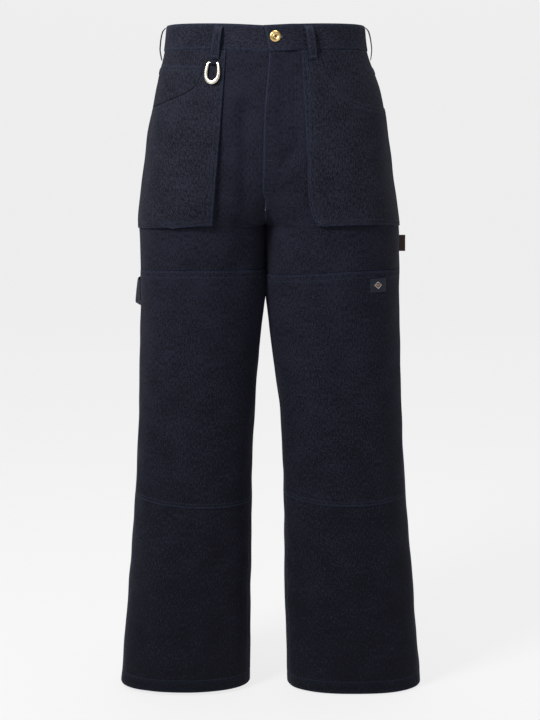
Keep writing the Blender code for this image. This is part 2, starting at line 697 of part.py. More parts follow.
def make_tool_pocket(side):
    """Two layers caught in the waistband and the outseam, free at the inner and the lower edge."""
    shape = POCKETS[side]
    past = shape["lower"][-1][0] + PAST_THE_SIDE
    low_z = shape["lower"][-1][1]

    def layer(name, base):
        def lift(share, z):
            return base + stand_off(side, share, z)

        return make_layer(name, side, "front", POCKET_HEIGHTS, lift, PATCH_WALL, "pocket_denim")

    under = layer(f"tool_pocket_under_{word_of(side)}", UNDER_LIFT)
    outline = curve_down(shape["under_inner"]) + curve_across(shape["under_lower"])[1:]
    outline += [(past, low_z), (past, shape["under_inner"][0][1])]
    trim(under, outline, side)
    upper = layer(f"tool_pocket_{word_of(side)}", UPPER_LIFT)
    outline = curve_down(shape["inner"]) + curve_across(shape["lower"])[1:]
    outline += [(past, low_z), (past, shape["scoop"][-1][1] - SCOOP_MARGIN)]
    outline += list(shape["scoop"])[::-1]
    trim(upper, outline, side)


def make_coin_pocket():
    """The small pocket inside the wearer's right scoop, from its hem down to the scoop's edge."""

    def lift(share, z):
        return UPPER_LIFT + stand_off(RIGHT, share, z)

    piece = make_layer("coin_pocket", RIGHT, "front", COIN_HEIGHTS, lift, COIN_WALL, "pocket_denim", KNEE_EDGE)
    scoop = [(x + COIN_MARGIN, z + COIN_MARGIN) for x, z in POCKETS[RIGHT]["scoop"] if z < COIN_TOP[0][1]]
    top = curve_across(COIN_TOP)
    past = top[-1][0] + PAST_THE_SIDE
    outline = [(past, top[-1][1])] + top[::-1] + scoop + [(past, scoop[-1][1] - SCOOP_MARGIN)]
    trim(piece, outline, RIGHT)


def make_knee_panel(side):
    def at(share, z):
        return side * bare_point(side, front_arc(side, share, z), z)[0]

    name = f"knee_panel_{word_of(side)}"
    piece = make_layer(name, side, "front", KNEE_HEIGHTS, lambda share, z: GAP, PATCH_WALL, "denim", KNEE_EDGE)
    steps = [k / OUTLINE_STEPS for k in range(OUTLINE_STEPS + 1)]
    top = [(at(share, along(KNEE_TOP[side], share)), along(KNEE_TOP[side], share)) for share in steps]
    low = [(at(share, along(KNEE_BOTTOM[side], share)), along(KNEE_BOTTOM[side], share)) for share in steps]
    outline = [(top[0][0] - PAST_THE_SIDE, top[0][1])] + top + [(top[-1][0] + PAST_THE_SIDE, top[-1][1])]
    outline += [(low[-1][0] + PAST_THE_SIDE, low[-1][1])] + low[::-1] + [(low[0][0] - PAST_THE_SIDE, low[0][1])]
    trim(piece, outline, side)


def make_back_pocket(side):
    name = f"back_pocket_{word_of(side)}"
    piece = make_layer(name, side, "back", BACK_POCKET_HEIGHTS, lambda share, z: GAP, PATCH_WALL, "pocket_denim")

    def at(arc, z):
        return side * bare_point(side, side_arc(side, z) + arc, z)[0]

    middle = (BACK_POCKET_LOW_ARC[0] + BACK_POCKET_LOW_ARC[1]) / 2
    outline = [
        (at(BACK_POCKET_TOP_ARC[0], BACK_POCKET_TOP_Z[0]), BACK_POCKET_TOP_Z[0]),
        (at(BACK_POCKET_TOP_ARC[1], BACK_POCKET_TOP_Z[1]), BACK_POCKET_TOP_Z[1]),
        (at(BACK_POCKET_LOW_ARC[1], BACK_POCKET_SIDE_Z), BACK_POCKET_SIDE_Z),
        (at(middle, BACK_POCKET_POINT_Z), BACK_POCKET_POINT_Z),
        (at(BACK_POCKET_LOW_ARC[0], BACK_POCKET_SIDE_Z), BACK_POCKET_SIDE_Z),
    ]
    trim(piece, outline, side, behind=True)


def make_belt_loop(name, side, top_arc, low_arc, foot):
    """A strap from the top of the waistband to just under it. foot is the height that its end lies on."""
    spots = []
    for i in range(LOOP_COLUMNS + 1):
        across = (i / LOOP_COLUMNS - 0.5) * LOOP_WIDTH
        line = []
        for k in range(LOOP_ROWS + 1):
            down = k / LOOP_ROWS
            z = LOOP_Z[0] + (LOOP_Z[1] - LOOP_Z[0]) * down
            line.append((top_arc + (low_arc - top_arc) * down + across, z))
        spots.append(line)

    def lift(i, j):
        down = j / LOOP_ROWS
        rest = (BAND_OUT + GAP) * (1 - down) + foot * down
        return rest + (LOOP_PEAK - rest) * straight(LOOP_STAND, down)

    cloth(name, side, spots, LOOP_WALL, lift, "band_denim")


def make_belt_loops():
    pocket_foot = POCKET_OUT + GAP
    for side in (RIGHT, LEFT):
        word = word_of(side)
        top = at_x(side, FRONT_LOOPS[side][0], LOOP_Z[0])
        low = at_x(side, FRONT_LOOPS[side][1], LOOP_Z[1])
        make_belt_loop(f"belt_loop_front_{word}", side, top, low, pocket_foot)
        top = side_arc(side, LOOP_Z[0]) - SIDE_LOOPS[side][0]
        low = side_arc(side, LOOP_Z[1]) - SIDE_LOOPS[side][1]
        make_belt_loop(f"belt_loop_side_{word}", side, top, low, 2 * GAP)
    top, low = total_arc(LEFT, LOOP_Z[0]), total_arc(LEFT, LOOP_Z[1])
    make_belt_loop("belt_loop_back", LEFT, top, low, 2 * GAP)


def frame_at(point, out, down):
    """A matrix at a point: X across, Z up against down, -Y out of the cloth."""
    up = -Vector(down).normalized()
    across = Vector(out).normalized().cross(up) * -1
    across.normalize()
    depth = up.cross(across)
    turned = Matrix((across, depth, up)).transposed().to_4x4()
    return Matrix.Translation(Vector(point)) @ turned


def make_button():
    arc = at_x(LEFT, BUTTON_X, BUTTON_Z)
    point, out = body(LEFT, arc, BUTTON_Z)
    work = bmesh.new()
    line = [work.verts.new((r, 0, h)) for r, h in BUTTON_PROFILE]
    edges = [work.edges.new(pair) for pair in zip(line, line[1:])]
    bmesh.ops.spin(
        work, geom=line + edges, cent=(0, 0, 0), axis=(0, 0, 1), angle=2 * math.pi, steps=BUTTON_STEPS, use_merge=True
    )
    bmesh.ops.remove_doubles(work, verts=work.verts, dist=0.00001)
    bmesh.ops.holes_fill(work, edges=work.edges, sides=0)
    bmesh.ops.recalc_face_normals(work, faces=work.faces)
    mesh = bpy.data.meshes.new("button")
    work.to_mesh(mesh)
    work.free()
    mesh.shade_smooth()
    mesh.set_sharp_from_angle(angle=math.radians(40))
    mesh.materials.append(material("brass"))
    made = bpy.data.objects.new("button", mesh)
    made.rotation_euler = Vector(out).to_track_quat("Z", "Y").to_euler()
    made.location = Vector(point) + Vector(out) * (BAND_OUT + BAND_LAP_LIFT + GAP)
    bpy.context.scene.collection.objects.link(made)


def ring_place():
    """The bar's middle, and the frame in which the ring hangs against the pocket."""
    eye = BAR_RADIUS + BAR_PLAY + TAB_WALL
    arc = at_x(RIGHT, RING_X, RING_BAR_Z)
    point, out = body(RIGHT, arc, RING_BAR_Z)
    bar = Vector(point) + Vector(out) * (POCKET_OUT + GAP + eye)
    low_z = RING_BAR_Z - RING_HEIGHT
    low_point, low_out = body(RIGHT, at_x(RIGHT, RING_LOW_X, low_z), low_z)
    low = Vector(low_point) + Vector(low_out) * (POCKET_OUT + RING_OFF_POCKET + RING_DEPTH / 2)
    return frame_at(bar, out, low - bar)


def ring_line(t):
    """The middle line of the horseshoe, from one tip (0) round the bottom to the other (1)."""
    turn = math.pi * t
    down = RING_TIP - (RING_HEIGHT + RING_TIP) * math.sin(turn) ** RING_BEND
    share = min(max(-down / RING_HEIGHT, 0.0), 1.0)
    if share < RING_WIDEST:
        half = RING_TIP_HALF + (RING_HALF - RING_TIP_HALF) * math.sin(math.pi / 2 * share / RING_WIDEST)
    else:
        past = (share - RING_WIDEST) / (1 - RING_WIDEST)
        half = RING_HALF * math.sqrt(max(1 - past**2, 0.0))
    return Vector((-half if t < 0.5 else half, 0, down)), share


def make_ring():
    outline = []
    arms = RING_STEPS // 2
    for k in range(RING_STEPS + 1):
        part = abs(k - arms) / arms
        t = 0.5 + (0.5 if k > arms else -0.5) * part**RING_CLOSER
        outline.append(ring_line(t))
    points, faces = [], []
    for k, (spot, share) in enumerate(outline):
        before = outline[max(k - 1, 0)][0]
        after = outline[min(k + 1, RING_STEPS)][0]
        run = (after - before).normalized()
        across = Vector((-run.z, 0, run.x))
        width = RING_TIP_WIDTH + (RING_LOW_WIDTH - RING_TIP_WIDTH) * share
        for s in range(RING_SIDES):
            turn = 2 * math.pi * s / RING_SIDES
            ring = across * math.cos(turn) * width / 2 + Vector((0, 1, 0)) * math.sin(turn) * RING_DEPTH / 2
            points.append(spot + ring)
        if k:
            for s in range(RING_SIDES):
                a, b = (k - 1) * RING_SIDES + s, (k - 1) * RING_SIDES + (s + 1) % RING_SIDES
                faces.append([a, b, b + RING_SIDES, a + RING_SIDES])
    faces.append(list(range(RING_SIDES)))
    faces.append(list(range(len(points) - RING_SIDES, len(points)))[::-1])
    ring = add_mesh("ring", points, faces, "pale_gold", smooth_angle=50)
    place = ring_place()
    ring.matrix_world = place
    bpy.ops.mesh.primitive_cylinder_add(
        vertices=BAR_SIDES, radius=BAR_RADIUS, depth=2 * RING_TIP_HALF, rotation=(0, math.pi / 2, 0)
    )
    bar = bpy.context.active_object
    bar.name = "ring_bar_join"
    bar.hide_render = True
    bar.display_type = "WIRE"
    bar.matrix_world = place @ bar.matrix_world
    join = ring.modifiers.new("bar", "BOOLEAN")
    join.operation = "UNION"
    join.solver = "EXACT"
    join.object = bar


def make_ring_tab():
    """The short tab that is folded round the ring's bar, below the belt loop."""
    inner_radius = BAR_RADIUS + BAR_PLAY
    outer_radius = inner_radius + TAB_WALL
    top = TAB_TOP_Z - RING_BAR_Z
    line = [((-outer_radius, top), (-inner_radius, top))]
    for k in range(EYE_STEPS + 1):
        turn = math.pi + math.pi * k / EYE_STEPS
        radii = (outer_radius, inner_radius)
        line.append(tuple((radius * math.cos(turn), radius * math.sin(turn)) for radius in radii))
    line.append(((outer_radius, top), (inner_radius, top)))
    hanging = ring_place()
    out = Vector(body(RIGHT, at_x(RIGHT, RING_X, RING_BAR_Z), RING_BAR_Z)[1])
    down = -hanging.col[2].xyz
    place = frame_at(hanging.translation, out, down - out * down.dot(out))
    outer, inner = [], []
    for across in (-TAB_WIDTH / 2, TAB_WIDTH / 2):
        outer.append([place @ Vector((across, *pair[0])) for pair in line])
        inner.append([place @ Vector((across, *pair[1])) for pair in line])
    grid_shell("ring_tab", outer, inner, "band_denim")


def make_hammer_loop():
    spots = []
    for i in range(HAMMER_COLUMNS + 1):
        share = i / HAMMER_COLUMNS
        line = []
        for k in range(HAMMER_ROWS + 1):
            z = HAMMER_Z[0] + (HAMMER_Z[1] - HAMMER_Z[0]) * k / HAMMER_ROWS
            arc = outseam_arc(RIGHT, z) + HAMMER_ARC[0] + (HAMMER_ARC[1] - HAMMER_ARC[0]) * share
            line.append((arc, z))
        spots.append(line)

    def lift(i, j):
        share = i / HAMMER_COLUMNS
        bow = smooth_step(1 - abs(2 * share - 1) * (1 + HAMMER_FLAT))
        stand = HAMMER_STAND[0] + (HAMMER_STAND[1] - HAMMER_STAND[0]) * j / HAMMER_ROWS
        return HAMMER_FOOT + stand * bow

    cloth("hammer_loop", RIGHT, spots, HAMMER_WALL, lift, "denim")


def make_side_tab():
    """A tape end that stands off the wearer's left back panel, on one of the panel's columns."""
    points = []
    for z in SIDE_TAB_Z:
        point, out = body(LEFT, back_arc(LEFT, SIDE_TAB_COLUMN / BACK_COLUMNS, z), z)
        flat = Vector((out[0], out[1], 0)).normalized()
        aside = Vector((-flat.y, flat.x, 0))
        root = Vector(point) + flat * SIDE_TAB_GAP
        for reach, across in ((0, -0.5), (0, 0.5), (1, 0.5), (1, -0.5)):
            points.append(root + flat * reach * SIDE_TAB_REACH + aside * across * SIDE_TAB_THICK)
    faces = [[0, 1, 2, 3], [7, 6, 5, 4]] + [[k, k + 4, (k + 1) % 4 + 4, (k + 1) % 4] for k in range(4)]
    add_mesh("side_tab", points, faces, "brown_tab")


def make_label():
    """The small woven square on the wearer's left knee panel, left plain."""
    margin = 2 * KNEE_EDGE
    piece = make_layer("woven_label", LEFT, "front", LABEL_HEIGHTS, lambda share, z: LABEL_LIFT, LABEL_WALL, "label", margin)
    left, right = LABEL_X
    top, low = LABEL_Z
    trim(piece, [(left, top), (right, top), (right, low), (left, low)], LEFT)


def main():
    clear_scene()
    make_waistband()
    for side in (RIGHT, LEFT):
        make_panel(side, "front")
        make_panel(side, "back")
        make_yoke(side)
        make_tool_pocket(side)
        make_knee_panel(side)
        make_back_pocket(side)
    make_coin_pocket()
    make_belt_loops()
    make_button()
    make_ring()
    make_ring_tab()
    make_hammer_loop()
    make_side_tab()
    make_label()


main()
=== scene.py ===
import json
import math

import bpy
import numpy as np
from mathutils import Matrix, Vector
from mathutils.bvhtree import BVHTree


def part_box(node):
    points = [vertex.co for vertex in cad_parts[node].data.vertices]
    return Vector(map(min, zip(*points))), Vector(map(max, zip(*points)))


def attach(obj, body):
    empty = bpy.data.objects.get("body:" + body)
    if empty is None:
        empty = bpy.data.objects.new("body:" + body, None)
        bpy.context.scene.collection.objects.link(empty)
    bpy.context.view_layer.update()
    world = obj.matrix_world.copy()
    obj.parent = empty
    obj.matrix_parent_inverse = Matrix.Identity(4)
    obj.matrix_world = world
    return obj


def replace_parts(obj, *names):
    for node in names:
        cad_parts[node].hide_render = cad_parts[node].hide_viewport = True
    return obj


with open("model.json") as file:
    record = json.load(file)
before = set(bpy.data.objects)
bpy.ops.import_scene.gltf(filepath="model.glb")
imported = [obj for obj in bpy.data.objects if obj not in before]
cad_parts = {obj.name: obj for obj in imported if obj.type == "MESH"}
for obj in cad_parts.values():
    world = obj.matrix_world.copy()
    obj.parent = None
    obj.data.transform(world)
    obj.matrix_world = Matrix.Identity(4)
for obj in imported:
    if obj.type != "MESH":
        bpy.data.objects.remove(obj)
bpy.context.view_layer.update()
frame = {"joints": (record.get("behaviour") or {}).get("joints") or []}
bpy.ops.object.select_all(action="DESELECT")
print("frame loaded")

right, left = -1, 1
gap = 0.0003  # between pieces that are sewn together

cut = {  # the same sizes as the solids
    "wall": 0.0015,
    "patchWall": 0.0012,
    "bandHeight": 0.040,
    "underBand": 0.0020,
    "bandOut": 0.0012,
    "bandIn": 0.0018,
    "crotchZ": -0.312,
    "riseCurveTop": -0.190,
    "risePower": 2.5,
    "ovalPower": 2.25,
    "sideY": 0.006,
    "hemZ": {right: -1.0815, left: -1.0845},
    "hemDepth": 0.022,
    "hemWall": 0.0030,
    "outseamAhead": 0.030,
    "inseamAhead": 0.025,
    "inseamSettledZ": -0.370,
}

# z, outside right and left, inside right and left, depth before and behind the side
sections = (
    (0.020, 0.1550, 0.1550, 0.0, 0.0, 0.1020, 0.0990),
    (0.000, 0.1565, 0.1570, 0.0, 0.0, 0.1040, 0.1010),
    (-0.040, 0.1612, 0.1622, 0.0, 0.0, 0.1080, 0.1070),
    (-0.075, 0.1700, 0.1750, 0.0, 0.0, 0.1110, 0.1140),
    (-0.115, 0.1775, 0.1865, 0.0, 0.0, 0.1150, 0.1200),
    (-0.155, 0.1860, 0.1940, 0.0, 0.0, 0.1170, 0.1240),
    (-0.190, 0.1912, 0.1990, 0.0, 0.0, 0.1180, 0.1260),
    (-0.230, 0.1960, 0.2037, 0.0, 0.0, 0.1180, 0.1260),
    (-0.270, 0.2010, 0.2087, 0.0, 0.0, 0.1160, 0.1230),
    (-0.306, 0.2035, 0.2140, 0.0, 0.0, 0.1120, 0.1170),
    (-0.340, 0.2032, 0.2165, 0.0006, 0.0006, 0.1080, 0.1100),
    (-0.404, 0.2040, 0.2178, 0.0006, 0.0006, 0.1020, 0.1020),
    (-0.463, 0.2044, 0.2184, 0.0050, 0.0046, 0.0980, 0.0960),
    (-0.522, 0.2052, 0.2194, 0.0118, 0.0112, 0.0940, 0.0910),
    (-0.602, 0.2080, 0.2236, 0.0160, 0.0208, 0.0890, 0.0860),
    (-0.703, 0.2133, 0.2284, 0.0215, 0.0282, 0.0830, 0.0820),
    (-0.784, 0.2184, 0.2340, 0.0230, 0.0300, 0.0800, 0.0790),
    (-0.887, 0.2263, 0.2440, 0.0243, 0.0308, 0.0760, 0.0750),
    (-0.970, 0.2345, 0.2510, 0.0250, 0.0330, 0.0730, 0.0730),
    (-1.090, 0.2460, 0.2615, 0.0262, 0.0360, 0.0700, 0.0710),
)
waistDip = ((0.0, -0.0008), (0.14, 0.0020), (0.35, 0.0028), (0.50, 0.0010), (0.75, 0.0040), (1.0, 0.0070))


def smoothStep(t):
    t = np.clip(t, 0.0, 1.0)
    return t * t * (3 - 2 * t)


def smoothCurve(points, at):
    order = sorted(points)
    spots = np.array([p[0] for p in order])
    values = np.array([p[1] for p in order])
    slopes = np.diff(values) / np.diff(spots)
    tangents = np.concatenate([slopes[:1], (slopes[1:] + slopes[:-1]) / 2, slopes[-1:]])
    at = np.clip(np.asarray(at, float), spots[0], spots[-1])
    i = np.clip(np.searchsorted(spots, at) - 1, 0, len(slopes) - 1)
    span = spots[i + 1] - spots[i]
    t = (at - spots[i]) / span
    return (
        (2 * t**3 - 3 * t**2 + 1) * values[i]
        + (t**3 - 2 * t**2 + t) * span * tangents[i]
        + (3 * t**2 - 2 * t**3) * values[i + 1]
        + (t**3 - t**2) * span * tangents[i + 1]
    )


# the body surface, worked out once: levels from the waist down, and points by even running length
crotch = cut["crotchZ"]
levels = np.concatenate(
    [
        np.arange(0.022, -0.300, -0.002),
        np.arange(-0.300, -0.3118, -0.0004),
        [crotch + 0.00005, crotch - 0.00005],
        np.arange(-0.3124, -0.320, -0.0008),
        np.arange(-0.3225, -1.099, -0.003),
    ]
)
samples = 301


def halfSection(side, z):
    column = [float(smoothCurve([(row[0], row[k]) for row in sections], z)) for k in range(1, 7)]
    outside, inside = (column[0], column[2]) if side == right else (column[1], column[3])
    front, back = column[4], column[5]
    power = cut["ovalPower"]
    down = min(max((cut["riseCurveTop"] - z) / (cut["riseCurveTop"] - crotch), 0.0), 1.0)
    meet = (1 - down ** cut["risePower"]) ** (1 / cut["risePower"])
    inside = max(inside, 0.0) if meet == 0 else 0.0
    centre = float(smoothStep(-z / 0.30)) * (outside + inside) / 2
    innerEnd = (1 - meet**power) ** (1 / power)
    turn = np.linspace(0, math.pi / 2, 49)
    across = np.sin(turn) ** (2 / power)
    deep = np.maximum(1 - (innerEnd * across) ** power, 0) ** (1 / power)
    wide = np.maximum(np.cos(turn), 0) ** (2 / power)
    innerX = centre - (centre - inside) * across
    outerX = centre + (outside - centre) * across
    y = cut["sideY"]
    xs = np.concatenate([innerX[::-1], outerX[1:], outerX[::-1][1:], innerX[1:]])
    ahead, behind = (y - front * deep, y - front * wide), (y + back * wide, y + back * deep)
    ys = np.concatenate([ahead[0][::-1], ahead[1][1:], behind[0][::-1][1:], behind[1][1:]])
    length = np.concatenate([[0.0], np.cumsum(np.hypot(np.diff(xs), np.diff(ys)))])
    even = np.linspace(0, length[-1], samples)
    return np.interp(even, length, xs), np.interp(even, length, ys), length[-1], length[2 * len(turn) - 2]


shape = {}
for side in (right, left):
    found = [halfSection(side, z) for z in levels]
    shape[side] = {
        "x": np.array([f[0] for f in found]),
        "y": np.array([f[1] for f in found]),
        "total": np.array([f[2] for f in found]),
        "side": np.array([f[3] for f in found]),
    }


def atLevel(values, z):
    return np.interp(-np.asarray(z, float), -levels, values)


def totalArc(side, z):
    return atLevel(shape[side]["total"], z)


def sideArc(side, z):
    return atLevel(shape[side]["side"], z)


def tablePoint(side, arc, z):
    k = np.clip(np.searchsorted(-levels, -z, side="right") - 1, 0, len(levels) - 2)
    share = np.clip((levels[k] - z) / (levels[k] - levels[k + 1]), 0, 1)
    place = []
    for axis in ("x", "y"):
        both = []
        for level in (k, k + 1):
            spot = np.clip(arc / shape[side]["total"][level], 0, 1) * (samples - 1)
            first = np.minimum(spot.astype(int), samples - 2)
            row = shape[side][axis]
            both.append(row[level, first] * (1 - spot + first) + row[level, first + 1] * (spot - first))
        place.append(both[0] * (1 - share) + both[1] * share)
    return np.stack([side * place[0], place[1], z], axis=-1)


def barePoint(side, arc, z):
    arc, z = np.broadcast_arrays(np.asarray(arc, float), np.asarray(z, float))
    whole = totalArc(side, z)
    above = z > crotch
    near = above & (arc < 0)
    far = above & (arc > whole)
    own = np.where(above, arc, np.mod(arc, whole))
    other = np.where(near, -arc, totalArc(-side, z) - (arc - whole))
    point = tablePoint(side, np.where(near | far, 0.0, own), z)
    mirrored = tablePoint(-side, np.where(near | far, other, 0.0), z)
    return np.where((near | far)[..., None], mirrored, point)


def outward(side, arc, z):
    step = 0.002
    alongArc = barePoint(side, arc + step, z) - barePoint(side, arc - step, z)
    up = barePoint(side, arc, z + step) - barePoint(side, arc, z - step)
    up = np.where((np.abs(z - crotch) < step)[..., None], np.array([0.0, 0.0, 1.0]), up)
    normal = np.cross(alongArc, up) * side
    return normal / np.linalg.norm(normal, axis=-1, keepdims=True)


# by side and face, in tenths of a millimetre: from x z, to x z, height (a trough is below 0), width
folds = {  # also in the solids
    (left, "front"): (
        (260, -2050, 480, -1900, -24, 100), (260, -2420, 560, -2220, 24, 110),
        (480, -3200, 300, -4800, 30, 220), (1250, -5000, 1400, -7000, -30, 240),
        (800, -8000, 900, -10400, 26, 200), (1700, -8200, 1850, -10600, -30, 220),
    ),
    (right, "front"): (
        (-280, -1300, -220, -3000, -50, 180), (-300, -3200, -420, -4600, -50, 220),
        (-950, -4800, -1080, -6800, 26, 240), (-1500, -5600, -1620, -7400, -26, 220),
        (-700, -8000, -800, -10400, -28, 200), (-1600, -8200, -1750, -10500, 28, 220),
    ),
    (left, "back"): (
        (300, -3000, 1300, -3350, -45, 140), (400, -3450, 1500, -3750, 35, 140),
        (600, -5900, 1800, -5600, -40, 160), (700, -6400, 1900, -6550, -32, 140),
        (1300, -7200, 1500, -10200, 30, 240),
    ),
    (right, "back"): (
        (-350, -3120, -1250, -3300, -40, 140), (-450, -3550, -1400, -3680, 32, 130),
        (-600, -5750, -1700, -5900, -38, 150), (-500, -6500, -1600, -6250, -34, 150),
        (-1200, -7000, -1300, -10000, -30, 240),
    ),
}
foldClear = {"from": 0.014, "fade": 0.024}
creases = {  # finer ones, not in the solids
    (left, "front"): (
        (255, -550, 215, -1900, -30, 70), (460, -750, 500, -1950, -24, 80),
        (400, -1920, 80, -2220, -26, 70), (600, -2260, 140, -2620, -24, 80),
        (660, -2620, 200, -2920, 22, 90), (950, -3400, 1650, -3520, -11, 85),
        (1500, -3300, 2000, -3720, 10, 85), (500, -5600, 1050, -5780, 10, 100),
        (1500, -5600, 2050, -5400, -10, 95), (900, -6300, 1650, -6550, -11, 100),
        (600, -6900, 1200, -7120, 10, 100), (700, -8500, 1350, -8680, 11, 110),
        (1250, -9150, 2050, -9400, -12, 120), (600, -9650, 1350, -10000, 12, 115),
        (1500, -10200, 2200, -10000, -12, 110),
    ),
    (right, "front"): (
        (-180, -2620, -560, -2320, -24, 85), (-160, -2900, -640, -2640, 24, 95),
        (-480, -1000, -440, -2700, 26, 110), (-1250, -3300, -1750, -3450, -12, 80),
        (-600, -3450, -1300, -3620, 10, 90), (-350, -5000, -480, -6000, 11, 110),
        (-600, -5400, -1150, -5620, -9, 90), (-1050, -6000, -1700, -5900, 10, 100),
        (-500, -6400, -1150, -6680, -10, 100), (-550, -8600, -1150, -8840, -11, 110),
        (-1100, -9300, -1850, -9150, 12, 120), (-480, -9850, -1180, -10120, -12, 110),
    ),
    (left, "back"): (
        (200, -2450, 800, -2920, -16, 100), (250, -3250, 950, -3520, 16, 90),
        (1200, -3000, 1900, -2920, 14, 110), (400, -3950, 1200, -4150, -13, 110),
        (500, -4800, 1400, -5050, 12, 130), (800, -6100, 1900, -6020, 20, 95),
        (600, -6720, 1300, -6900, -14, 100), (700, -7800, 1500, -8000, 12, 120),
        (1000, -9050, 2100, -8850, -13, 120), (700, -9900, 1500, -10200, 16, 110),
    ),
    (right, "back"): (
        (-220, -2500, -760, -2860, -15, 100), (-280, -3300, -980, -3490, 14, 90),
        (-1150, -3000, -1850, -3050, -13, 110), (-500, -4000, -1300, -3920, 13, 110),
        (-450, -4700, -1200, -5000, -12, 130), (-700, -6060, -1700, -6120, 19, 90),
        (-600, -6820, -1400, -6680, 13, 100), (-650, -8000, -1500, -7800, -12, 120),
        (-950, -8800, -1900, -9050, 13, 120), (-600, -10000, -1400, -9850, -15, 110),
    ),
}
unevenness = {"height": 0.00055, "waves": 14, "longest": 0.150, "shortest": 0.034, "seed": 7}


def foldLift(point, out, table):
    x, z = point[..., 0], point[..., 2]
    lift = np.zeros(x.shape)
    clear = np.where(z > crotch, smoothStep((np.abs(x) - foldClear["from"]) / foldClear["fade"]), 1.0)
    for (side, face), rows in table.items():
        weight = np.maximum(-out[..., 1] if face == "front" else out[..., 1], 0) * (np.sign(x) == side)
        for x0, z0, x1, z1, height, width in np.array(rows) / 10000:
            run = np.array([x1 - x0, z1 - z0])
            share = ((x - x0) * run[0] + (z - z0) * run[1]) / run.dot(run)
            held = np.clip(share, 0, 1)
            beyond = np.maximum(np.maximum(-share, share - 1), 0) * np.hypot(*run)
            apart = np.sqrt((x - x0 - held * run[0]) ** 2 + (z - z0 - held * run[1]) ** 2 + beyond**2)
            lift += clear * height * weight * np.exp(-((apart / width) ** 2))
    return lift


draw = np.random.default_rng(unevenness["seed"])
waveTurn = draw.normal(size=(unevenness["waves"], 3))
waveTurn /= np.linalg.norm(waveTurn, axis=1, keepdims=True)
waveLength = np.geomspace(unevenness["longest"], unevenness["shortest"], unevenness["waves"])
waveStart = draw.uniform(0, 2 * math.pi, unevenness["waves"])


def wavyLift(point):
    lift = np.zeros(point.shape[:-1])
    for turn, length, start in zip(waveTurn, waveLength, waveStart):
        lift += np.sin(point @ turn * (2 * math.pi / length) + start) * (length / unevenness["longest"]) ** 0.6
    calm = smoothStep((-point[..., 2] - 0.045) / 0.05)
    centre = np.where(point[..., 2] > crotch, smoothStep((np.abs(point[..., 0]) - 0.012) / 0.03), 1.0)
    return lift * unevenness["height"] / math.sqrt(unevenness["waves"] / 4) * calm * centre


press = {"lift": 0.0026, "top": -0.300, "full": -0.318, "fades": -0.425, "ends": -0.475}


def pressLift(side, point, out):
    z = point[..., 2]
    inward = np.maximum(-out[..., 0] * side, 0) ** 2
    held = smoothStep((press["top"] - z) / (press["top"] - press["full"]))
    held = held * smoothStep((z - press["ends"]) / (press["fades"] - press["ends"]))
    return press["lift"] * inward * held


def clothPoint(side, arc, z):
    arc, z = np.broadcast_arrays(np.asarray(arc, float), np.asarray(z, float))
    point = barePoint(side, arc, z)
    out = outward(side, arc, z)
    lift = foldLift(point, out, folds) + foldLift(point, out, creases)
    lift = lift + wavyLift(point) + pressLift(side, point, out)
    return point + out * lift[..., None], out


def arcAtX(side, x, z):
    x, z = np.broadcast_arrays(np.asarray(x, float), np.asarray(z, float))
    low, high = np.zeros(x.shape), sideArc(side, z)
    for _ in range(26):
        middle = (low + high) / 2
        short = side * barePoint(side, middle, z)[..., 0] < x
        low, high = np.where(short, middle, low), np.where(short, high, middle)
    return (low + high) / 2


fly = {
    "edge": ((0.0, 0.0060), (-0.040, 0.0060), (-0.129, -0.0014), (-0.205, -0.0035), (-0.255, -0.0052)),
    "lift": 0.0021,
    "underlap": 0.012,
    "underlapNarrowsZ": -0.195,
    "underlapEndZ": -0.240,
    "endZ": -0.255,
    "closedZ": -0.272,
    "flatZ": -0.300,
}


def inseamArc(z):
    run = smoothStep((crotch - z) / (crotch - cut["inseamSettledZ"]))
    return np.where(z > crotch, 0.0, cut["inseamAhead"] * run)


def outseamArc(side, z):
    return sideArc(side, z) - cut["outseamAhead"]


def frontStart(side, z):
    edge = smoothCurve(fly["edge"], z)
    if side == left:
        shut = smoothStep((fly["endZ"] - z) / (fly["endZ"] - fly["closedZ"]))
        upper = edge * (1 - shut) + gap / 2 * shut
    else:
        narrowed = smoothStep((fly["underlapNarrowsZ"] - z) / (fly["underlapNarrowsZ"] - fly["underlapEndZ"]))
        upper = -(edge + fly["underlap"]) * (1 - narrowed) + gap / 2 * narrowed
    return np.where(z <= fly["flatZ"], inseamArc(z) + gap / 2, upper)


def flyLift(arc, z):
    fade = 1 - smoothStep((fly["closedZ"] - z) / (fly["closedZ"] - fly["flatZ"]))
    past = arc - frontStart(left, z)
    return fly["lift"] * fade * (1 - smoothStep((past - fly["underlap"] - 0.002) / 0.022))


def waistLine(side, arc):
    arc = np.asarray(arc, float)
    whole = np.where(arc < 0, totalArc(-side, -cut["bandHeight"]), totalArc(side, -cut["bandHeight"]))
    return smoothCurve(waistDip, np.abs(arc) / whole)


def frontArc(side, share, z):
    start = frontStart(side, z)
    return start + share * (outseamArc(side, z) - gap / 2 - start)


def backArc(side, share, z):
    start = outseamArc(side, z) + gap / 2
    return start + share * (totalArc(side, z) + inseamArc(z) - gap / 2 - start)


def frontShare(side, arc, z):
    start = frontStart(side, z)
    return (arc - start) / (outseamArc(side, z) - gap / 2 - start)


def nearest(side):
    return "right" if side == right else "left"


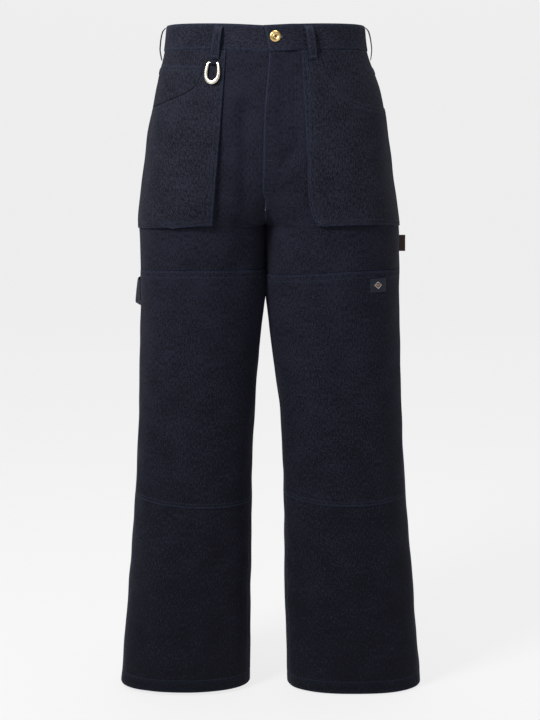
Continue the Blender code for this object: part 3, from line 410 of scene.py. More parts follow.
# shaders: a socket with arithmetic, and one way to make any node
class Sock:
    def __init__(self, tree, value):
        self.tree, self.value = tree, value

    def math(self, kind, other=None, flip=False):
        values = [self.value] if other is None else [self.value, getattr(other, "value", other)]
        return node(self.tree, "ShaderNodeMath", {"operation": kind}, values[::-1] if flip else values)

    def __add__(self, other): return self.math("ADD", other)
    def __radd__(self, other): return self.math("ADD", other)
    def __sub__(self, other): return self.math("SUBTRACT", other)
    def __rsub__(self, other): return self.math("SUBTRACT", other, flip=True)
    def __mul__(self, other): return self.math("MULTIPLY", other)
    def __rmul__(self, other): return self.math("MULTIPLY", other)
    def __truediv__(self, other): return self.math("DIVIDE", other)


def node(tree, kind, settings, values, out=0):
    made = tree.nodes.new(kind)
    for name, value in settings.items():
        if name == "stops":
            ramp = made.color_ramp.elements
            while len(ramp) < len(value):
                ramp.new(0.5)
            for stop, (at, colour) in zip(ramp, value):
                stop.position, stop.color = at, (*colour, 1)
        else:
            setattr(made, name, value)
    pairs = values.items() if isinstance(values, dict) else enumerate(values)
    for name, value in pairs:
        value = getattr(value, "value", value)
        if isinstance(value, bpy.types.NodeSocket):
            tree.links.new(value, made.inputs[name])
        elif value is not None:
            made.inputs[name].default_value = value
    return Sock(tree, made.outputs[out])


def newMaterial(name, finish):
    made = bpy.data.materials.new(name)
    made.use_nodes = True
    shader = made.node_tree.nodes["Principled BSDF"]
    for key, value in finish.items():
        shader.inputs[key].default_value = value
    return made, made.node_tree, shader


def mixColour(tree, factor, first, second):
    return node(tree, "ShaderNodeMix", {"data_type": "RGBA"}, {0: factor, 6: first, 7: second}, out=2)


denimLook = {
    "twill": 1150.0,  # ribs for each metre
    "slub": 520.0,
    "speck": 950.0,
    "fleck": 400.0,
    "cloud": 26.0,
    "ripple": 150.0,
    "ribDepth": 0.00022,
    "slubDepth": 0.00030,
    "puckerDepth": 0.0011,
    # painted shade: the leg tone darkens toward the hems, given as level and slope of the darkening with height
    "fade": {"level": 0.50, "slope": 0.75},
    "finish": {
        "Roughness": 0.86, "Specular IOR Level": 0.14, "Sheen Weight": 0.03, "Sheen Roughness": 0.55,
        "Sheen Tint": (0.55, 0.60, 0.85, 1),
    },
}


def noise(tree, vector, scale, detail):
    return node(tree, "ShaderNodeTexNoise", {}, {"Vector": vector, "Scale": scale, "Detail": detail})


def attribute(tree, name):
    return node(tree, "ShaderNodeAttribute", {"attribute_name": name}, [], out=2)


def clamped(tree, value):
    return node(tree, "ShaderNodeClamp", {}, [value, 0.0, 1.0])


def wire(tree, shader, colour, strength, height, roughness=None):
    bump = node(tree, "ShaderNodeBump", {}, {"Strength": strength, "Distance": 1.0, "Height": height})
    for key, sock in {"Base Color": colour, "Roughness": roughness, "Normal": bump}.items():
        if sock:
            tree.links.new(sock.value, shader.inputs[key])


def denim(name, dark, light, worn, fade=None):
    made, tree, shader = newMaterial(name, denimLook["finish"])
    uv = node(tree, "ShaderNodeUVMap", {"uv_map": "cloth"}, [])
    stretch = node(tree, "ShaderNodeVectorMath", {"operation": "MULTIPLY"}, [uv, (1.0, 0.30, 1.0)])
    slub = noise(tree, stretch, denimLook["slub"], 3.0)
    speck = noise(tree, uv, denimLook["speck"], 2.0)
    fleck = noise(tree, uv, denimLook["fleck"], 2.0)
    cloud = noise(tree, uv, denimLook["cloud"], 4.0)
    twill = node(
        tree, "ShaderNodeTexWave", {"wave_type": "BANDS", "bands_direction": "DIAGONAL"},
        {"Vector": uv, "Scale": denimLook["twill"] / 6.5, "Distortion": 1.2, "Detail": 1.0, "Detail Scale": 1.6},
        out=1,
    )
    tone = (slub - 0.5) * 3.2 + (speck - 0.5) * 3.4 + (fleck - 0.5) * 2.4
    tone = tone + (cloud - 0.5) * 1.0 + (twill - 0.5) * 0.3 + 0.42
    # painted shade: the tone is darkened toward the hems, where less light reaches the lower legs
    if fade:  # darker toward the hems
        height = node(tree, "ShaderNodeSeparateXYZ", {}, [uv], out=1)
        tone = tone + (height + fade["level"]) * fade["slope"]
    base = mixColour(tree, clamped(tree, tone), (*dark, 1), (*light, 1))
    wear = clamped(tree, attribute(tree, "wear") * (speck * 1.1 - 0.22))
    colour = mixColour(tree, wear, base, (*worn, 1))
    ripple = noise(tree, uv, denimLook["ripple"], 1.0) * attribute(tree, "pucker")
    height = twill * denimLook["ribDepth"] + slub * denimLook["slubDepth"] + ripple * denimLook["puckerDepth"]
    wire(tree, shader, colour, 0.9, height, slub * 0.12 + 0.80)
    return made


def threadMaterial(name, colour):
    made, tree, shader = newMaterial(name, {"Roughness": 0.66, "Sheen Weight": 0.08, "Specular IOR Level": 0.25})
    place = node(tree, "ShaderNodeTexCoord", {}, [], out=3)
    grain, patch = noise(tree, place, 900.0, 2.0), noise(tree, place, 38.0, 3.0)
    tone = clamped(tree, grain * 0.5 + patch * 1.2 - 0.35)
    dark, light = (tuple(c * share for c in colour) + (1,) for share in (0.55, 1.45))
    wire(tree, shader, mixColour(tree, tone, dark, light), 0.5, grain * 0.0002)
    return made


def metal(name, low, high, roughness):
    made, tree, shader = newMaterial(name, {"Metallic": 1.0, "Roughness": roughness, "Coat Weight": 0.15})
    place = node(tree, "ShaderNodeTexCoord", {}, [], out=3)
    smear, fine = noise(tree, place, 160.0, 4.0), noise(tree, place, 2400.0, 2.0)
    colour = mixColour(tree, smear, (*low, 1), (*high, 1))
    wire(tree, shader, colour, 0.35, fine * 0.00006, smear * 0.16 + (roughness - 0.08))
    return made


tones = {
    # the leg denim carries painted shade, darker toward the hems
    "leg": denim(
        "leg denim", (0.0009, 0.0012, 0.0036), (0.0118, 0.0130, 0.0250), (0.017, 0.026, 0.058),
        denimLook["fade"],
    ),
    "pocket": denim("pocket denim", (0.0014, 0.0017, 0.0044), (0.0170, 0.0184, 0.0312), (0.021, 0.031, 0.062)),
    "band": denim("waistband denim", (0.0022, 0.0026, 0.0064), (0.0190, 0.0205, 0.0350), (0.021, 0.031, 0.062)),
    "inside": denim("denim reverse", (0.060, 0.072, 0.105), (0.200, 0.215, 0.255), (0.24, 0.26, 0.30)),
    "thread": threadMaterial("navy thread", (0.0100, 0.0145, 0.0280)),
    "paleThread": threadMaterial("pale blue thread", (0.030, 0.044, 0.078)),
    "tackThread": threadMaterial("buttonhole thread", (0.26, 0.27, 0.31)),
    "tan": threadMaterial("tan thread", (0.42, 0.20, 0.10)),
    "cream": threadMaterial("cream thread", (0.55, 0.52, 0.48)),
    "tape": threadMaterial("brown tape", (0.045, 0.026, 0.024)),
    "badge": threadMaterial("woven badge", (0.0050, 0.0080, 0.0190)),
    "brass": metal("brass", (0.62, 0.40, 0.14), (0.90, 0.66, 0.30), 0.30),
    "paleGold": metal("pale gold", (0.86, 0.78, 0.60), (0.98, 0.94, 0.84), 0.22),
}
print("materials made")


def blend(ends, share):
    return ends[0] + (ends[1] - ends[0]) * share


def bell(distance, width):
    return np.exp(-((distance / width) ** 2))


def between(top, low, share):
    return top[:, None] + (low - top)[:, None] * share[None, :]


def stations(length, spacing, start=(0.0006, 0.0016, 0.0030), end=(0.0006, 0.0016, 0.0030)):
    count = max(int(round((length - start[-1] - end[-1]) / spacing)), 1)
    middle = np.linspace(start[-1], length - end[-1], count + 1)
    return np.concatenate([[0.0], start[:-1], middle, length - np.array(end[:-1])[::-1], [length]]) / length


def edgeDistance(points):
    runs = []
    for axis in (1, 0):
        steps = np.cumsum(np.linalg.norm(np.diff(points, axis=axis), axis=2), axis=axis)
        runs.append(np.concatenate([np.zeros_like(steps.take([0], axis=axis)), steps], axis=axis))
    down, over = runs
    return {"top": down, "low": down[:, -1:] - down, "near": over, "far": over[-1:] - over}


def quads(size):
    index = np.arange(size[0] * size[1]).reshape(size)
    return np.stack([index[:-1, :-1], index[1:, :-1], index[1:, 1:], index[:-1, 1:]], axis=-1).reshape(-1, 4)


def addObject(name, data):
    made = bpy.data.objects.new(name, data)
    bpy.context.scene.collection.objects.link(made)
    return made


def shell(name, outer, inner, uv, look, wear, pucker, insideLook="inside"):
    columns, rows = outer.shape[:2]
    count = columns * rows
    points = np.concatenate([outer.reshape(-1, 3), inner.reshape(-1, 3)])
    index = np.arange(count).reshape(columns, rows)
    front = quads((columns, rows))
    back = front[:, ::-1] + count
    rim = np.concatenate([index[:-1, 0], index[-1, :-1], index[:0:-1, -1], index[0, :0:-1]])
    after = np.roll(rim, -1)
    faces = np.concatenate([front, back, np.stack([rim, rim + count, after + count, after], axis=-1)])
    thickness = points[front].mean(axis=1) - points[back].mean(axis=1)
    normal = np.cross(points[front[:, 2]] - points[front[:, 0]], points[front[:, 3]] - points[front[:, 1]])
    if np.sum(normal * thickness) < 0:
        faces = faces[:, ::-1]
    mesh = bpy.data.meshes.new(name)
    mesh.from_pydata(points.tolist(), [], faces.tolist())
    layer = mesh.uv_layers.new(name="cloth")
    both = np.concatenate([uv.reshape(-1, 2), uv.reshape(-1, 2)])
    order = np.zeros(len(mesh.loops), int)
    mesh.loops.foreach_get("vertex_index", order)
    layer.data.foreach_set("uv", both[order].astype(np.float32).ravel())
    for key, values in (("wear", wear), ("pucker", pucker)):
        spread = np.concatenate([values.ravel(), values.ravel() * 0.5]).astype(np.float32)
        mesh.attributes.new(key, "FLOAT", "POINT").data.foreach_set("value", spread)
    mesh.materials.append(tones[look])
    mesh.materials.append(tones[insideLook])
    slots = np.zeros(len(faces), np.int32)
    slots[len(front) : 2 * len(front)] = 1
    mesh.polygons.foreach_set("material_index", slots)
    mesh.shade_smooth()
    mesh.set_sharp_from_angle(angle=math.radians(55))
    made = addObject(name, mesh)
    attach(made, "trousers")
    return made


trees = {}
seam = {"wear": 0.0022, "pucker": 0.010, "round": 0.42, "roundWide": 0.0009}
stitched = {"groove": 0.00028, "grooveWide": 0.0014, "wear": 0.3, "wearWide": 0.0016, "puckerWide": 0.008}


def keepTree(name, outer):
    points = [tuple(p) for p in outer.reshape(-1, 3)]
    trees[name] = BVHTree.FromPolygons(points, quads(outer.shape[:2]).tolist())


def sew(piece, side, arc, z, lift, wall, look, sewn=("near", "far"), rows=None,
        insideLook="inside"):
    point, out = clothPoint(side, arc, z)
    lift, wall = np.broadcast_to(lift, arc.shape), np.broadcast_to(wall, arc.shape)
    distance = edgeDistance(point)
    rounded = seam["round"] * wall * bell(np.minimum.reduce(list(distance.values())), seam["roundWide"])
    wear, pucker, groove = (np.zeros(arc.shape) for _ in range(3))
    for edge in sewn:
        wear = np.maximum(wear, bell(distance[edge], seam["wear"]))
        pucker = np.maximum(pucker, bell(distance[edge], seam["pucker"]))
    for edge, offsets in (rows or {}).items():
        for at in offsets:
            off = distance[edge] - at
            groove -= stitched["groove"] * bell(off, stitched["grooveWide"])
            wear = np.maximum(wear, stitched["wear"] * bell(off, stitched["wearWide"]))
            pucker = np.maximum(pucker, bell(off, stitched["puckerWide"]))
    outer = point + out * (lift + wall - rounded + groove)[..., None]
    inner = point + out * (lift + rounded)[..., None]
    uv = np.stack([arc + (0.5 if side == left else 0.0), z], axis=-1)
    made = shell(piece + "_cloth", outer, inner, uv, look, wear, pucker, insideLook)
    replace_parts(made, piece)
    wide = float(np.max(np.abs(arc[-1] - arc[0])))
    tall = float(np.max(z[:, 0] - z[:, -1]))
    cells = float(np.abs((arc[1:, :-1] - arc[:-1, :-1]) * (z[:-1, :-1] - z[:-1, 1:])).sum())
    keepTree(piece + "_cloth", outer)


panel = {
    "column": 0.0046,
    "row": 0.0048,
    "wide": {"front": 0.205, "back": 0.290},
    "tight": (0.0006, 0.0014, 0.0024, 0.0036, 0.0056),
    "hemEnds": (0.0006, 0.0016, 0.0040, 0.0110, 0.0202, 0.0214, 0.0226, 0.0240),
    "settles": 0.08,  # under the waist, where the rows are level
    "hemRow": cut["hemDepth"] - 0.0012,
}
tight = panel["tight"]
twoRows = tight + (0.0072, 0.0084, 0.0096)
double = (0.0024, 0.0084)  # two rows of stitches, from the edge
felled = (0.0024, 0.0086)
yoke = {"z": (-0.066, -0.106), "lap": 0.0045, "lapLift": 0.0013}


def panelTop(side, arc):
    return waistLine(side, arc) - cut["bandHeight"] + cut["underBand"]


def yokeLow(share):
    return blend(yoke["z"], share) + gap / 2 - yoke["lap"]  # it laps over the back


def legPanel(side, face):
    atFront = face == "front"
    share = stations(panel["wide"][face], panel["column"], start=tight, end=tight)
    hem = cut["hemZ"][side]
    if atFront:
        top = panelTop(side, frontArc(side, share, -cut["bandHeight"]))
    else:
        top = blend(yoke["z"], share) - gap / 2
    level = float(top.mean())
    tall = level - hem
    rows = level - stations(tall, panel["row"], (0.0006, 0.0014, 0.0030), panel["hemEnds"]) * tall
    rows = [r for r in rows if abs(r - crotch) > 0.0024] + [crotch + 0.0005, crotch - 0.0005, crotch - 0.002]
    rows = np.array(sorted(rows, reverse=True))
    z = rows[None, :] + (top - level)[:, None] * (1 - smoothStep((level - rows) / panel["settles"]))[None, :]
    z[:, 0] = top
    arc = (frontArc if atFront else backArc)(side, share[:, None], z)
    wall = np.where(z <= hem + cut["hemDepth"], cut["hemWall"] - 0.0004, cut["wall"])
    lift = flyLift(arc, z) - wall if atFront and side == left else -wall
    sewnRows = {"low": (panel["hemRow"],), **({"near": (0.0022,)} if atFront else {"far": felled})}
    sew(f"{face}_{nearest(side)}", side, arc, z, lift, wall, "leg", sewn=("near", "far", "low"),
        rows=sewnRows)


def makeYoke(side):
    share = stations(0.250, panel["column"], start=tight, end=tight)
    top = panelTop(side, backArc(side, share, -cut["bandHeight"]))
    low = yokeLow(share)
    z = between(top, low, stations(0.045, 0.0046, end=tight + (0.0074, 0.0084, 0.0094)))
    lap = yoke["lapLift"] * smoothStep((0.012 - (z - low[:, None])) / 0.006)
    sew(f"yoke_{nearest(side)}", side, backArc(side, share[:, None], z), z, lap - cut["wall"],
        cut["wall"] - 0.0002, "leg", sewn=("near", "far", "low"), rows={"low": double})


for side in (right, left):
    legPanel(side, "front")
    legPanel(side, "back")
    makeYoke(side)
print("legs and yokes sewn")


band = {
    "underlap": 0.035,
    "end": (-0.002, 0.006),  # the left end's x, at the top and at the bottom
    "lap": cut["bandOut"] + cut["bandIn"] + gap,
    "rows": (
        0.0, 0.0006, 0.0014, 0.0024, 0.0036, 0.0060, 0.0100, 0.0150, 0.0200, 0.0250, 0.0300, 0.0340,
        0.0364, 0.0376, 0.0386, 0.0394, 0.0400,
    ),
    "stitchDepth": 0.0024,
    "flat": (0.905, cut["bandHeight"]),
}


def bandArc(side, share, depth):
    start = blend(band["end"], depth / cut["bandHeight"]) if side == left else -band["underlap"]
    return start + share * (totalArc(side, -depth) - start)


def bandZ(side, arc, depth):
    return waistLine(side, arc * totalArc(side, -cut["bandHeight"]) / totalArc(side, -depth)) - depth


def makeWaistband():
    share = stations(0.440, 0.0046, start=tight, end=(0.0046,))
    depth = np.array(band["rows"])[None, :]
    parts = []
    for side, along in ((left, share), (right, share[::-1][1:])):
        arc = bandArc(side, along[:, None], depth)
        z = bandZ(side, arc, depth)
        point, out = clothPoint(side, arc, z)
        lap, run = 0 * arc, 2 * totalArc(right, -depth) - arc
        if side == left:
            lap, run = band["lap"] * (1 - smoothStep((arc - band["underlap"] - 0.003) / 0.018)), arc
        parts.append([np.broadcast_to(v, arc.shape + np.shape(v)[2:]) for v in (point, out, lap, run, z)])
    point, out, lap, run, z = (np.concatenate(pair) for pair in zip(*parts))
    distance = edgeDistance(point)
    edge = np.minimum(distance["top"], distance["low"])
    ends = np.minimum(distance["near"], distance["far"])
    rounded = 0.0012 * bell(edge, 0.0010) + 0.0008 * bell(ends, 0.0009)
    rows = sum(
        bell(distance[key] - band["stitchDepth"], stitched["grooveWide"]) for key in ("top", "low", "near")
    )
    wear = bell(np.minimum(edge, distance["near"]), 0.0040) * 0.8
    outer = point + out * (cut["bandOut"] + lap - rounded - stitched["groove"] * rows)[..., None]
    inner = point + out * (lap - cut["bandIn"] + rounded)[..., None]
    made = shell("waistband_cloth", outer, inner, np.stack([z, run], axis=-1), "band", wear, bell(edge, 0.011))
    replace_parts(made, "waistband")
    keepTree("waistband_cloth", outer)


makeWaistband()
print("waistband sewn")


# x and z along the edges of the tool pockets, and the scooped openings of their upper layers
pockets = {
    right: {
        "inner": ((0.0596, -0.0300), (0.0709, -0.1715), (0.0839, -0.3055)),
        "underInner": ((0.0596, -0.0300), (0.0700, -0.1715), (0.0822, -0.3055)),
        "low": (-0.3055, -0.3105, -0.3170),
        "scoop": (
            (0.0890, -0.0300), (0.0925, -0.0504), (0.0985, -0.0746), (0.1060, -0.0928), (0.1226, -0.1050),
            (0.1508, -0.1174), (0.1760, -0.1270),
        ),
        "standOff": 0.0075,
    },
    left: {
        "inner": ((0.0560, -0.0300), (0.0646, -0.0840), (0.0668, -0.1620), (0.0748, -0.2809), (0.0864, -0.3067)),
        "underInner": (
            (0.0553, -0.0300), (0.0580, -0.0840), (0.0646, -0.1958), (0.0719, -0.2859), (0.0815, -0.3050)
        ),
        "low": (-0.3067, -0.3062, -0.3130),
        "scoop": (
            (0.0790, -0.0300), (0.0844, -0.0480), (0.0911, -0.0668), (0.1017, -0.0856), (0.1138, -0.0987),
            (0.1400, -0.1149), (0.1639, -0.1218), (0.1842, -0.1273),
        ),
        "standOff": 0.0060,
    },
}
underLift = gap
upperLift = underLift + cut["patchWall"] + gap
pocketOut = upperLift + cut["patchWall"]
bandLowZ = -cut["bandHeight"] - gap
coin = {
    "top": ((0.0, -0.0626), (0.45, -0.0612), (1.0, -0.0585)), "start": 0.0666, "margin": 0.012, "wall": 0.0009,
}


def standOff(side, share, z):
    down = smoothStep((-z - 0.05) / 0.26)
    inward = (1 - np.clip((share - 0.3) / 0.65, 0, 1)) ** 1.3
    return pockets[side]["standOff"] * down * inward


def pocketArc(side, share, z, key="inner"):
    spots = np.linspace(-0.030, -0.330, 61)
    edge = smoothCurve([(h, x) for x, h in pockets[side][key]], spots)
    start = np.interp(-np.asarray(z), -spots, arcAtX(side, edge, spots))
    return start + share * (outseamArc(side, z) - gap - start)


def scoopByShare(side):
    xs, zs = np.array(pockets[side]["scoop"]).T
    length = np.concatenate([[0], np.cumsum(np.hypot(np.diff(xs), np.diff(zs)))])
    even = np.linspace(0, length[-1], 80)
    xs, zs = (smoothCurve(list(zip(length, values)), even) for values in (xs, zs))
    start, end = pocketArc(side, 0.0, zs), pocketArc(side, 1.0, zs)
    return np.maximum.accumulate((arcAtX(side, xs, zs) - start) / (end - start)), zs


def lowEdge(side, share):
    return smoothCurve(tuple(zip((0.0, 0.42, 1.0), pockets[side]["low"])), share)


def toolPocket(side):
    share, zs = scoopByShare(side)
    columns = stations(0.150, panel["column"], start=twoRows, end=tight)
    t = stations(0.22, panel["row"], start=twoRows, end=twoRows)
    for key, under, base in (("underInner", "under_", underLift), ("inner", "", upperLift)):
        top = np.full(columns.shape, bandLowZ)
        if not under:
            extra = np.interp(np.linspace(bandLowZ, zs[-1], 26), zs[::-1], share[::-1])
            columns = np.array(sorted(set(np.round(np.concatenate([columns, extra[extra < 1.0]]), 4))))
            columns = columns[np.concatenate([[True], np.diff(columns) > 0.0015])]
            starts = float(np.interp(-bandLowZ, -zs, share))
            top = np.where(columns < starts, bandLowZ, np.minimum(np.interp(columns, share, zs), bandLowZ))
            top = np.where(columns > share[-1], zs[-1] - (columns - share[-1]) * 0.05, top)
        lineTop = waistLine(side, pocketArc(side, columns, bandLowZ, key)) + bandLowZ
        top = np.where(top >= bandLowZ - 1e-6, lineTop, top)
        low = lowEdge(side, columns) + (0.0012 if under else 0.0)
        z = between(top, low, t)
        arc = pocketArc(side, columns[:, None], z, key)
        rows = {"near": double, "low": double} if under else {"near": double, "low": double, "top": double}
        lift = base + standOff(side, frontShare(side, arc, z), z)
        sew(f"tool_pocket_{under}{nearest(side)}", side, arc, z, lift, cut["patchWall"] - 0.0001, "pocket",
            sewn=("near", "low", "far"), rows=rows)


def coinStart(share, zs):
    return float(np.interp(coin["start"], -zs, share)) + coin["margin"]


def coinPocket():
    share, zs = scoopByShare(right)
    first = coinStart(share, zs)
    columns = first + (1 - first) * stations(0.085, 0.0046, start=tight, end=tight)
    top = smoothCurve(coin["top"], (columns - columns[0]) / (1 - columns[0]))
    low = np.where(columns > share[-1], zs[-1], np.interp(columns, share, zs) + 0.0016)
    low = np.minimum(low, top - 0.004)
    z = between(top, low, stations(0.05, 0.0046, start=twoRows))
    arc = pocketArc(right, columns[:, None], z)
    sew("coin_pocket", right, arc, z, upperLift + standOff(right, frontShare(right, arc, z), z), coin["wall"],
        "pocket", sewn=("top", "near"), rows={"top": double})


knees = {
    "top": {
        right: ((0.0, -0.3830), (0.5, -0.3786), (1.0, -0.3838)),
        left: ((0.0, -0.3912), (0.25, -0.3869), (0.65, -0.3799), (1.0, -0.3829)),
    },
    "low": {
        right: ((0.0, -0.7674), (0.5, -0.7666), (1.0, -0.7572)),
        left: ((0.0, -0.7560), (0.5, -0.7640), (1.0, -0.7590)),
    },
    "rows": {"top": (0.0024, 0.0104), "low": (0.0024, 0.0072)},
    "lift": 0.0004,
    "inset": 0.0022,
}


def kneePanel(side):
    columns = stations(0.215, panel["column"], start=tight, end=tight)
    ends = twoRows + (0.0112,)
    top, low = (smoothCurve(knees[edge][side], columns) for edge in ("top", "low"))
    z = between(top, low, stations(0.38, panel["row"], start=ends, end=ends))
    inner = frontArc(side, 0.0, z) + knees["inset"]
    arc = inner + columns[:, None] * (frontArc(side, 1.0, z) - knees["inset"] - inner)
    sew(f"knee_panel_{nearest(side)}", side, arc, z, knees["lift"], cut["patchWall"], "leg",
        sewn=("near", "far", "top", "low"), rows=knees["rows"])


backPatch = {
    "topArc": (0.030, 0.182), "lowArc": (0.040, 0.172), "topZ": (-0.117, -0.130), "lowZ": (-0.262, -0.282),
    "taperFrom": -0.120, "lift": 0.0004, "topRows": (0.0024, 0.0156),
}


def backPocketArc(side, share, z):
    down = np.clip((z - backPatch["taperFrom"]) / (backPatch["lowZ"][0] - backPatch["taperFrom"]), 0, 1.2)
    near, far = (blend(ends, down) for ends in zip(backPatch["topArc"], backPatch["lowArc"]))
    return sideArc(side, z) + near + share * (far - near)


def backPocketLow(share):
    return blend(backPatch["lowZ"], 1 - np.abs(2 * share - 1))


def backPocket(side):
    half = stations(0.071, panel["column"], start=twoRows, end=(0.0046,)) / 2
    columns = np.concatenate([half, 1 - half[::-1][1:]])
    t = stations(0.150, panel["row"], start=twoRows + (0.0120, 0.0140, 0.0156, 0.0172), end=twoRows)
    z = between(blend(backPatch["topZ"], columns), backPocketLow(columns), t)
    sew(f"back_pocket_{nearest(side)}", side, backPocketArc(side, columns[:, None], z), z, backPatch["lift"],
        cut["patchWall"], "leg", sewn=("near", "far", "low", "top"),
        rows={"near": double, "far": double, "low": double, "top": backPatch["topRows"]})


for side in (right, left):
    toolPocket(side)
    kneePanel(side)
    backPocket(side)
coinPocket()
print("pockets and knee panels sewn")


loops = {
    "width": 0.0125,
    "wall": 0.0016,
    "z": (-0.0015, -0.0530),
    "peak": 0.0078,
    "stand": ((0.0, 0.0), (0.10, 0.60), (0.25, 0.90), (0.50, 1.0), (0.72, 0.85), (0.90, 0.35), (1.0, 0.0)),
    "frontX": {right: (0.0702, 0.0765), left: (0.0655, 0.0730)},
    "sideAhead": {right: (0.000, -0.002), left: (0.020, 0.008)},
}


def beltLoop(name, side, topArc, lowArc, foot):
    across = (stations(loops["width"], 0.0016, (0.0005, 0.0012), (0.0005, 0.0012)) - 0.5) * loops["width"]
    down = stations(0.0515, 0.0016, start=(0.0006,), end=(0.0006,))
    arc = blend((topArc, lowArc), down[None, :]) + across[:, None]
    rest = blend((cut["bandOut"] + gap, foot), down)
    lift = rest + (loops["peak"] - rest) * smoothCurve(loops["stand"], down)
    z = np.broadcast_to(blend(loops["z"], down)[None, :], arc.shape)
    sew(name, side, arc, z, lift[None, :], loops["wall"], "band",
        rows={"near": (0.0026,), "far": (0.0026,)}, insideLook="band")


loopPlaces = {}
for side in (right, left):
    arcs = [float(arcAtX(side, x, z)) for x, z in zip(loops["frontX"][side], loops["z"])]
    loopPlaces[f"belt_loop_front_{nearest(side)}"] = (side, *arcs, pocketOut + gap)
    arcs = [float(sideArc(side, z)) - a for a, z in zip(loops["sideAhead"][side], loops["z"])]
    loopPlaces[f"belt_loop_side_{nearest(side)}"] = (side, *arcs, 2 * gap)
loopPlaces["belt_loop_back"] = (left, *[float(totalArc(left, z)) for z in loops["z"]], 2 * gap)
for name, place in loopPlaces.items():
    beltLoop(name, *place)

hammer = {
    "z": (-0.402, -0.4425), "arc": (0.002, 0.112), "wall": 0.0020, "stand": (0.0041, 0.0088), "foot": 0.0008,
}


def hammerArc(share, z):
    return outseamArc(right, z) + blend(hammer["arc"], share)


def hammerLoop():
    share = stations(0.110, 0.0030, start=tight[:3], end=tight[:3])
    t = stations(0.0405, 0.0030, start=tight[:4], end=tight[:4])
    z = blend(hammer["z"], t[None, :]) + 0 * share[:, None]
    bow = smoothStep(1 - np.abs(2 * share - 1) * 1.02)[:, None]
    lift = hammer["foot"] + blend(hammer["stand"], t[None, :]) * bow
    sew("hammer_loop", right, hammerArc(share[:, None], z), z, lift, hammer["wall"], "leg",
        sewn=("top", "low", "near", "far"), rows={"top": (0.0024,), "low": (0.0024,)},
        insideLook="leg")


hammerLoop()
print("loops sewn")

label = {
    "x": (0.1638, 0.1890), "z": (-0.3921, -0.4140), "wall": 0.0007, "ends": (0.0004, 0.0010), "column": 0.0012,
}


def wovenLabel():
    columns, t = (stations(size, label["column"], label["ends"], label["ends"]) for size in (0.027, 0.0219))
    z = blend(label["z"], t[None, :]) + 0 * columns[:, None]
    arc = blend([arcAtX(left, x, z) for x in label["x"]], columns[:, None])
    sew("woven_label", left, arc, z, knees["lift"] + cut["patchWall"] + gap, label["wall"], "badge", sewn=(),
        insideLook="badge")


wovenLabel()


def editMode(*steps):
    bpy.ops.object.mode_set(mode="EDIT")
    for step in steps:
        step()
    bpy.ops.object.mode_set(mode="OBJECT")


def selectAll():
    bpy.ops.mesh.select_all(action="SELECT")


def outsideOut():
    bpy.ops.mesh.normals_make_consistent(inside=False)


def soften(made, width, angle):
    bevel = made.modifiers.new("soften", "BEVEL")
    bevel.width, bevel.segments, bevel.limit_method = width, 2, "ANGLE"
    bpy.ops.object.modifier_apply(modifier="soften")
    bpy.ops.object.shade_smooth_by_angle(angle=math.radians(angle))


def toObject(name, material, body="trousers"):
    made = bpy.context.active_object
    made.name = made.data.name = name
    made.data.materials.clear()
    made.data.materials.append(tones[material])
    bpy.ops.object.transform_apply(location=True, rotation=True, scale=True)
    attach(made, body)
    bpy.ops.object.select_all(action="DESELECT")
    return made


# the button is a disc with a rolled rim, a dish and a burr in the middle: each step is an inset and a rise
button = {
    "x": 0.0151, "z": -0.0179, "radius": 0.0086, "thick": 0.0008, "off": 0.0004, "hole": 0.0021,
    # hole and holeRise size and raise a dark sphere that is painted shade for the button's hollow middle
    "holeRise": 0.0016,
    "steps": (
        (0.0007, 0.0007), (0.0016, 0.0009), (0.0012, -0.0002), (0.0016, -0.0009), (0.0008, 0.0002),
        (0.0010, 0.0012), (0.0006, 0.0002),
    ),
}


def makeButton():
    arc = float(arcAtX(left, button["x"], button["z"]))
    point, out = (Vector(v) for v in clothPoint(left, np.array(arc), np.array(button["z"])))
    place = point + out * (cut["bandOut"] + band["lap"] + gap + button["off"])
    turn = out.to_track_quat("Z", "Y").to_euler()
    bpy.ops.mesh.primitive_cylinder_add(
        vertices=64, radius=button["radius"], depth=button["thick"], location=place, rotation=turn
    )
    made = bpy.context.active_object
    editMode(lambda: bpy.ops.mesh.select_all(action="DESELECT"))
    for face in made.data.polygons:
        face.select = face.normal.z > 0.9
    bpy.ops.object.mode_set(mode="EDIT")
    for inset, depth in button["steps"]:
        bpy.ops.mesh.inset(thickness=inset, depth=depth)
    selectAll()
    bpy.ops.object.mode_set(mode="OBJECT")
    soften(made, 0.00022, 50)
    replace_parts(toObject("button_metal", "brass"), "button")
    # painted shade: a dark sphere in the brown tape material stands for the shade inside the button's hollow
    # hole
    bpy.ops.mesh.primitive_uv_sphere_add(
        segments=24, ring_count=12, radius=button["hole"], location=place + out * button["holeRise"]
    )
    toObject("button_hole_painted_shade", "tape")


makeButton()

# the ring is a horseshoe bent from flat bar, with its straight bar through the tab
ring = {
    "up": (0.09613519, 0.15676215, 0.98294633),
    "height": 0.0300, "tip": 0.0018, "tipHalf": 0.0078, "half": 0.0102, "widest": 0.55,
    "bend": 0.8, "closer": 1.15,
    "width": (0.0040, 0.0062), "depth": 0.0032, "corner": 0.72, "steps": 96, "around": 20,
    "barRadius": 0.00125, "play": 0.00035, "x": 0.0785, "z": -0.0585,
    "tabWall": 0.0009, "tabWidth": 0.0098, "tabTopZ": -0.0542, "tabEdges": (0.0004, 0.0010),
}
swing = frame["joints"][0]
pivot = Vector(swing["pos_m"])
ringX = -Vector(swing["axis"]).normalized()
ringZ = Vector(ring["up"]).normalized()


def placeAt(up):
    return Matrix.Translation(pivot) @ Matrix((ringX, up.cross(ringX), up)).transposed().to_4x4()


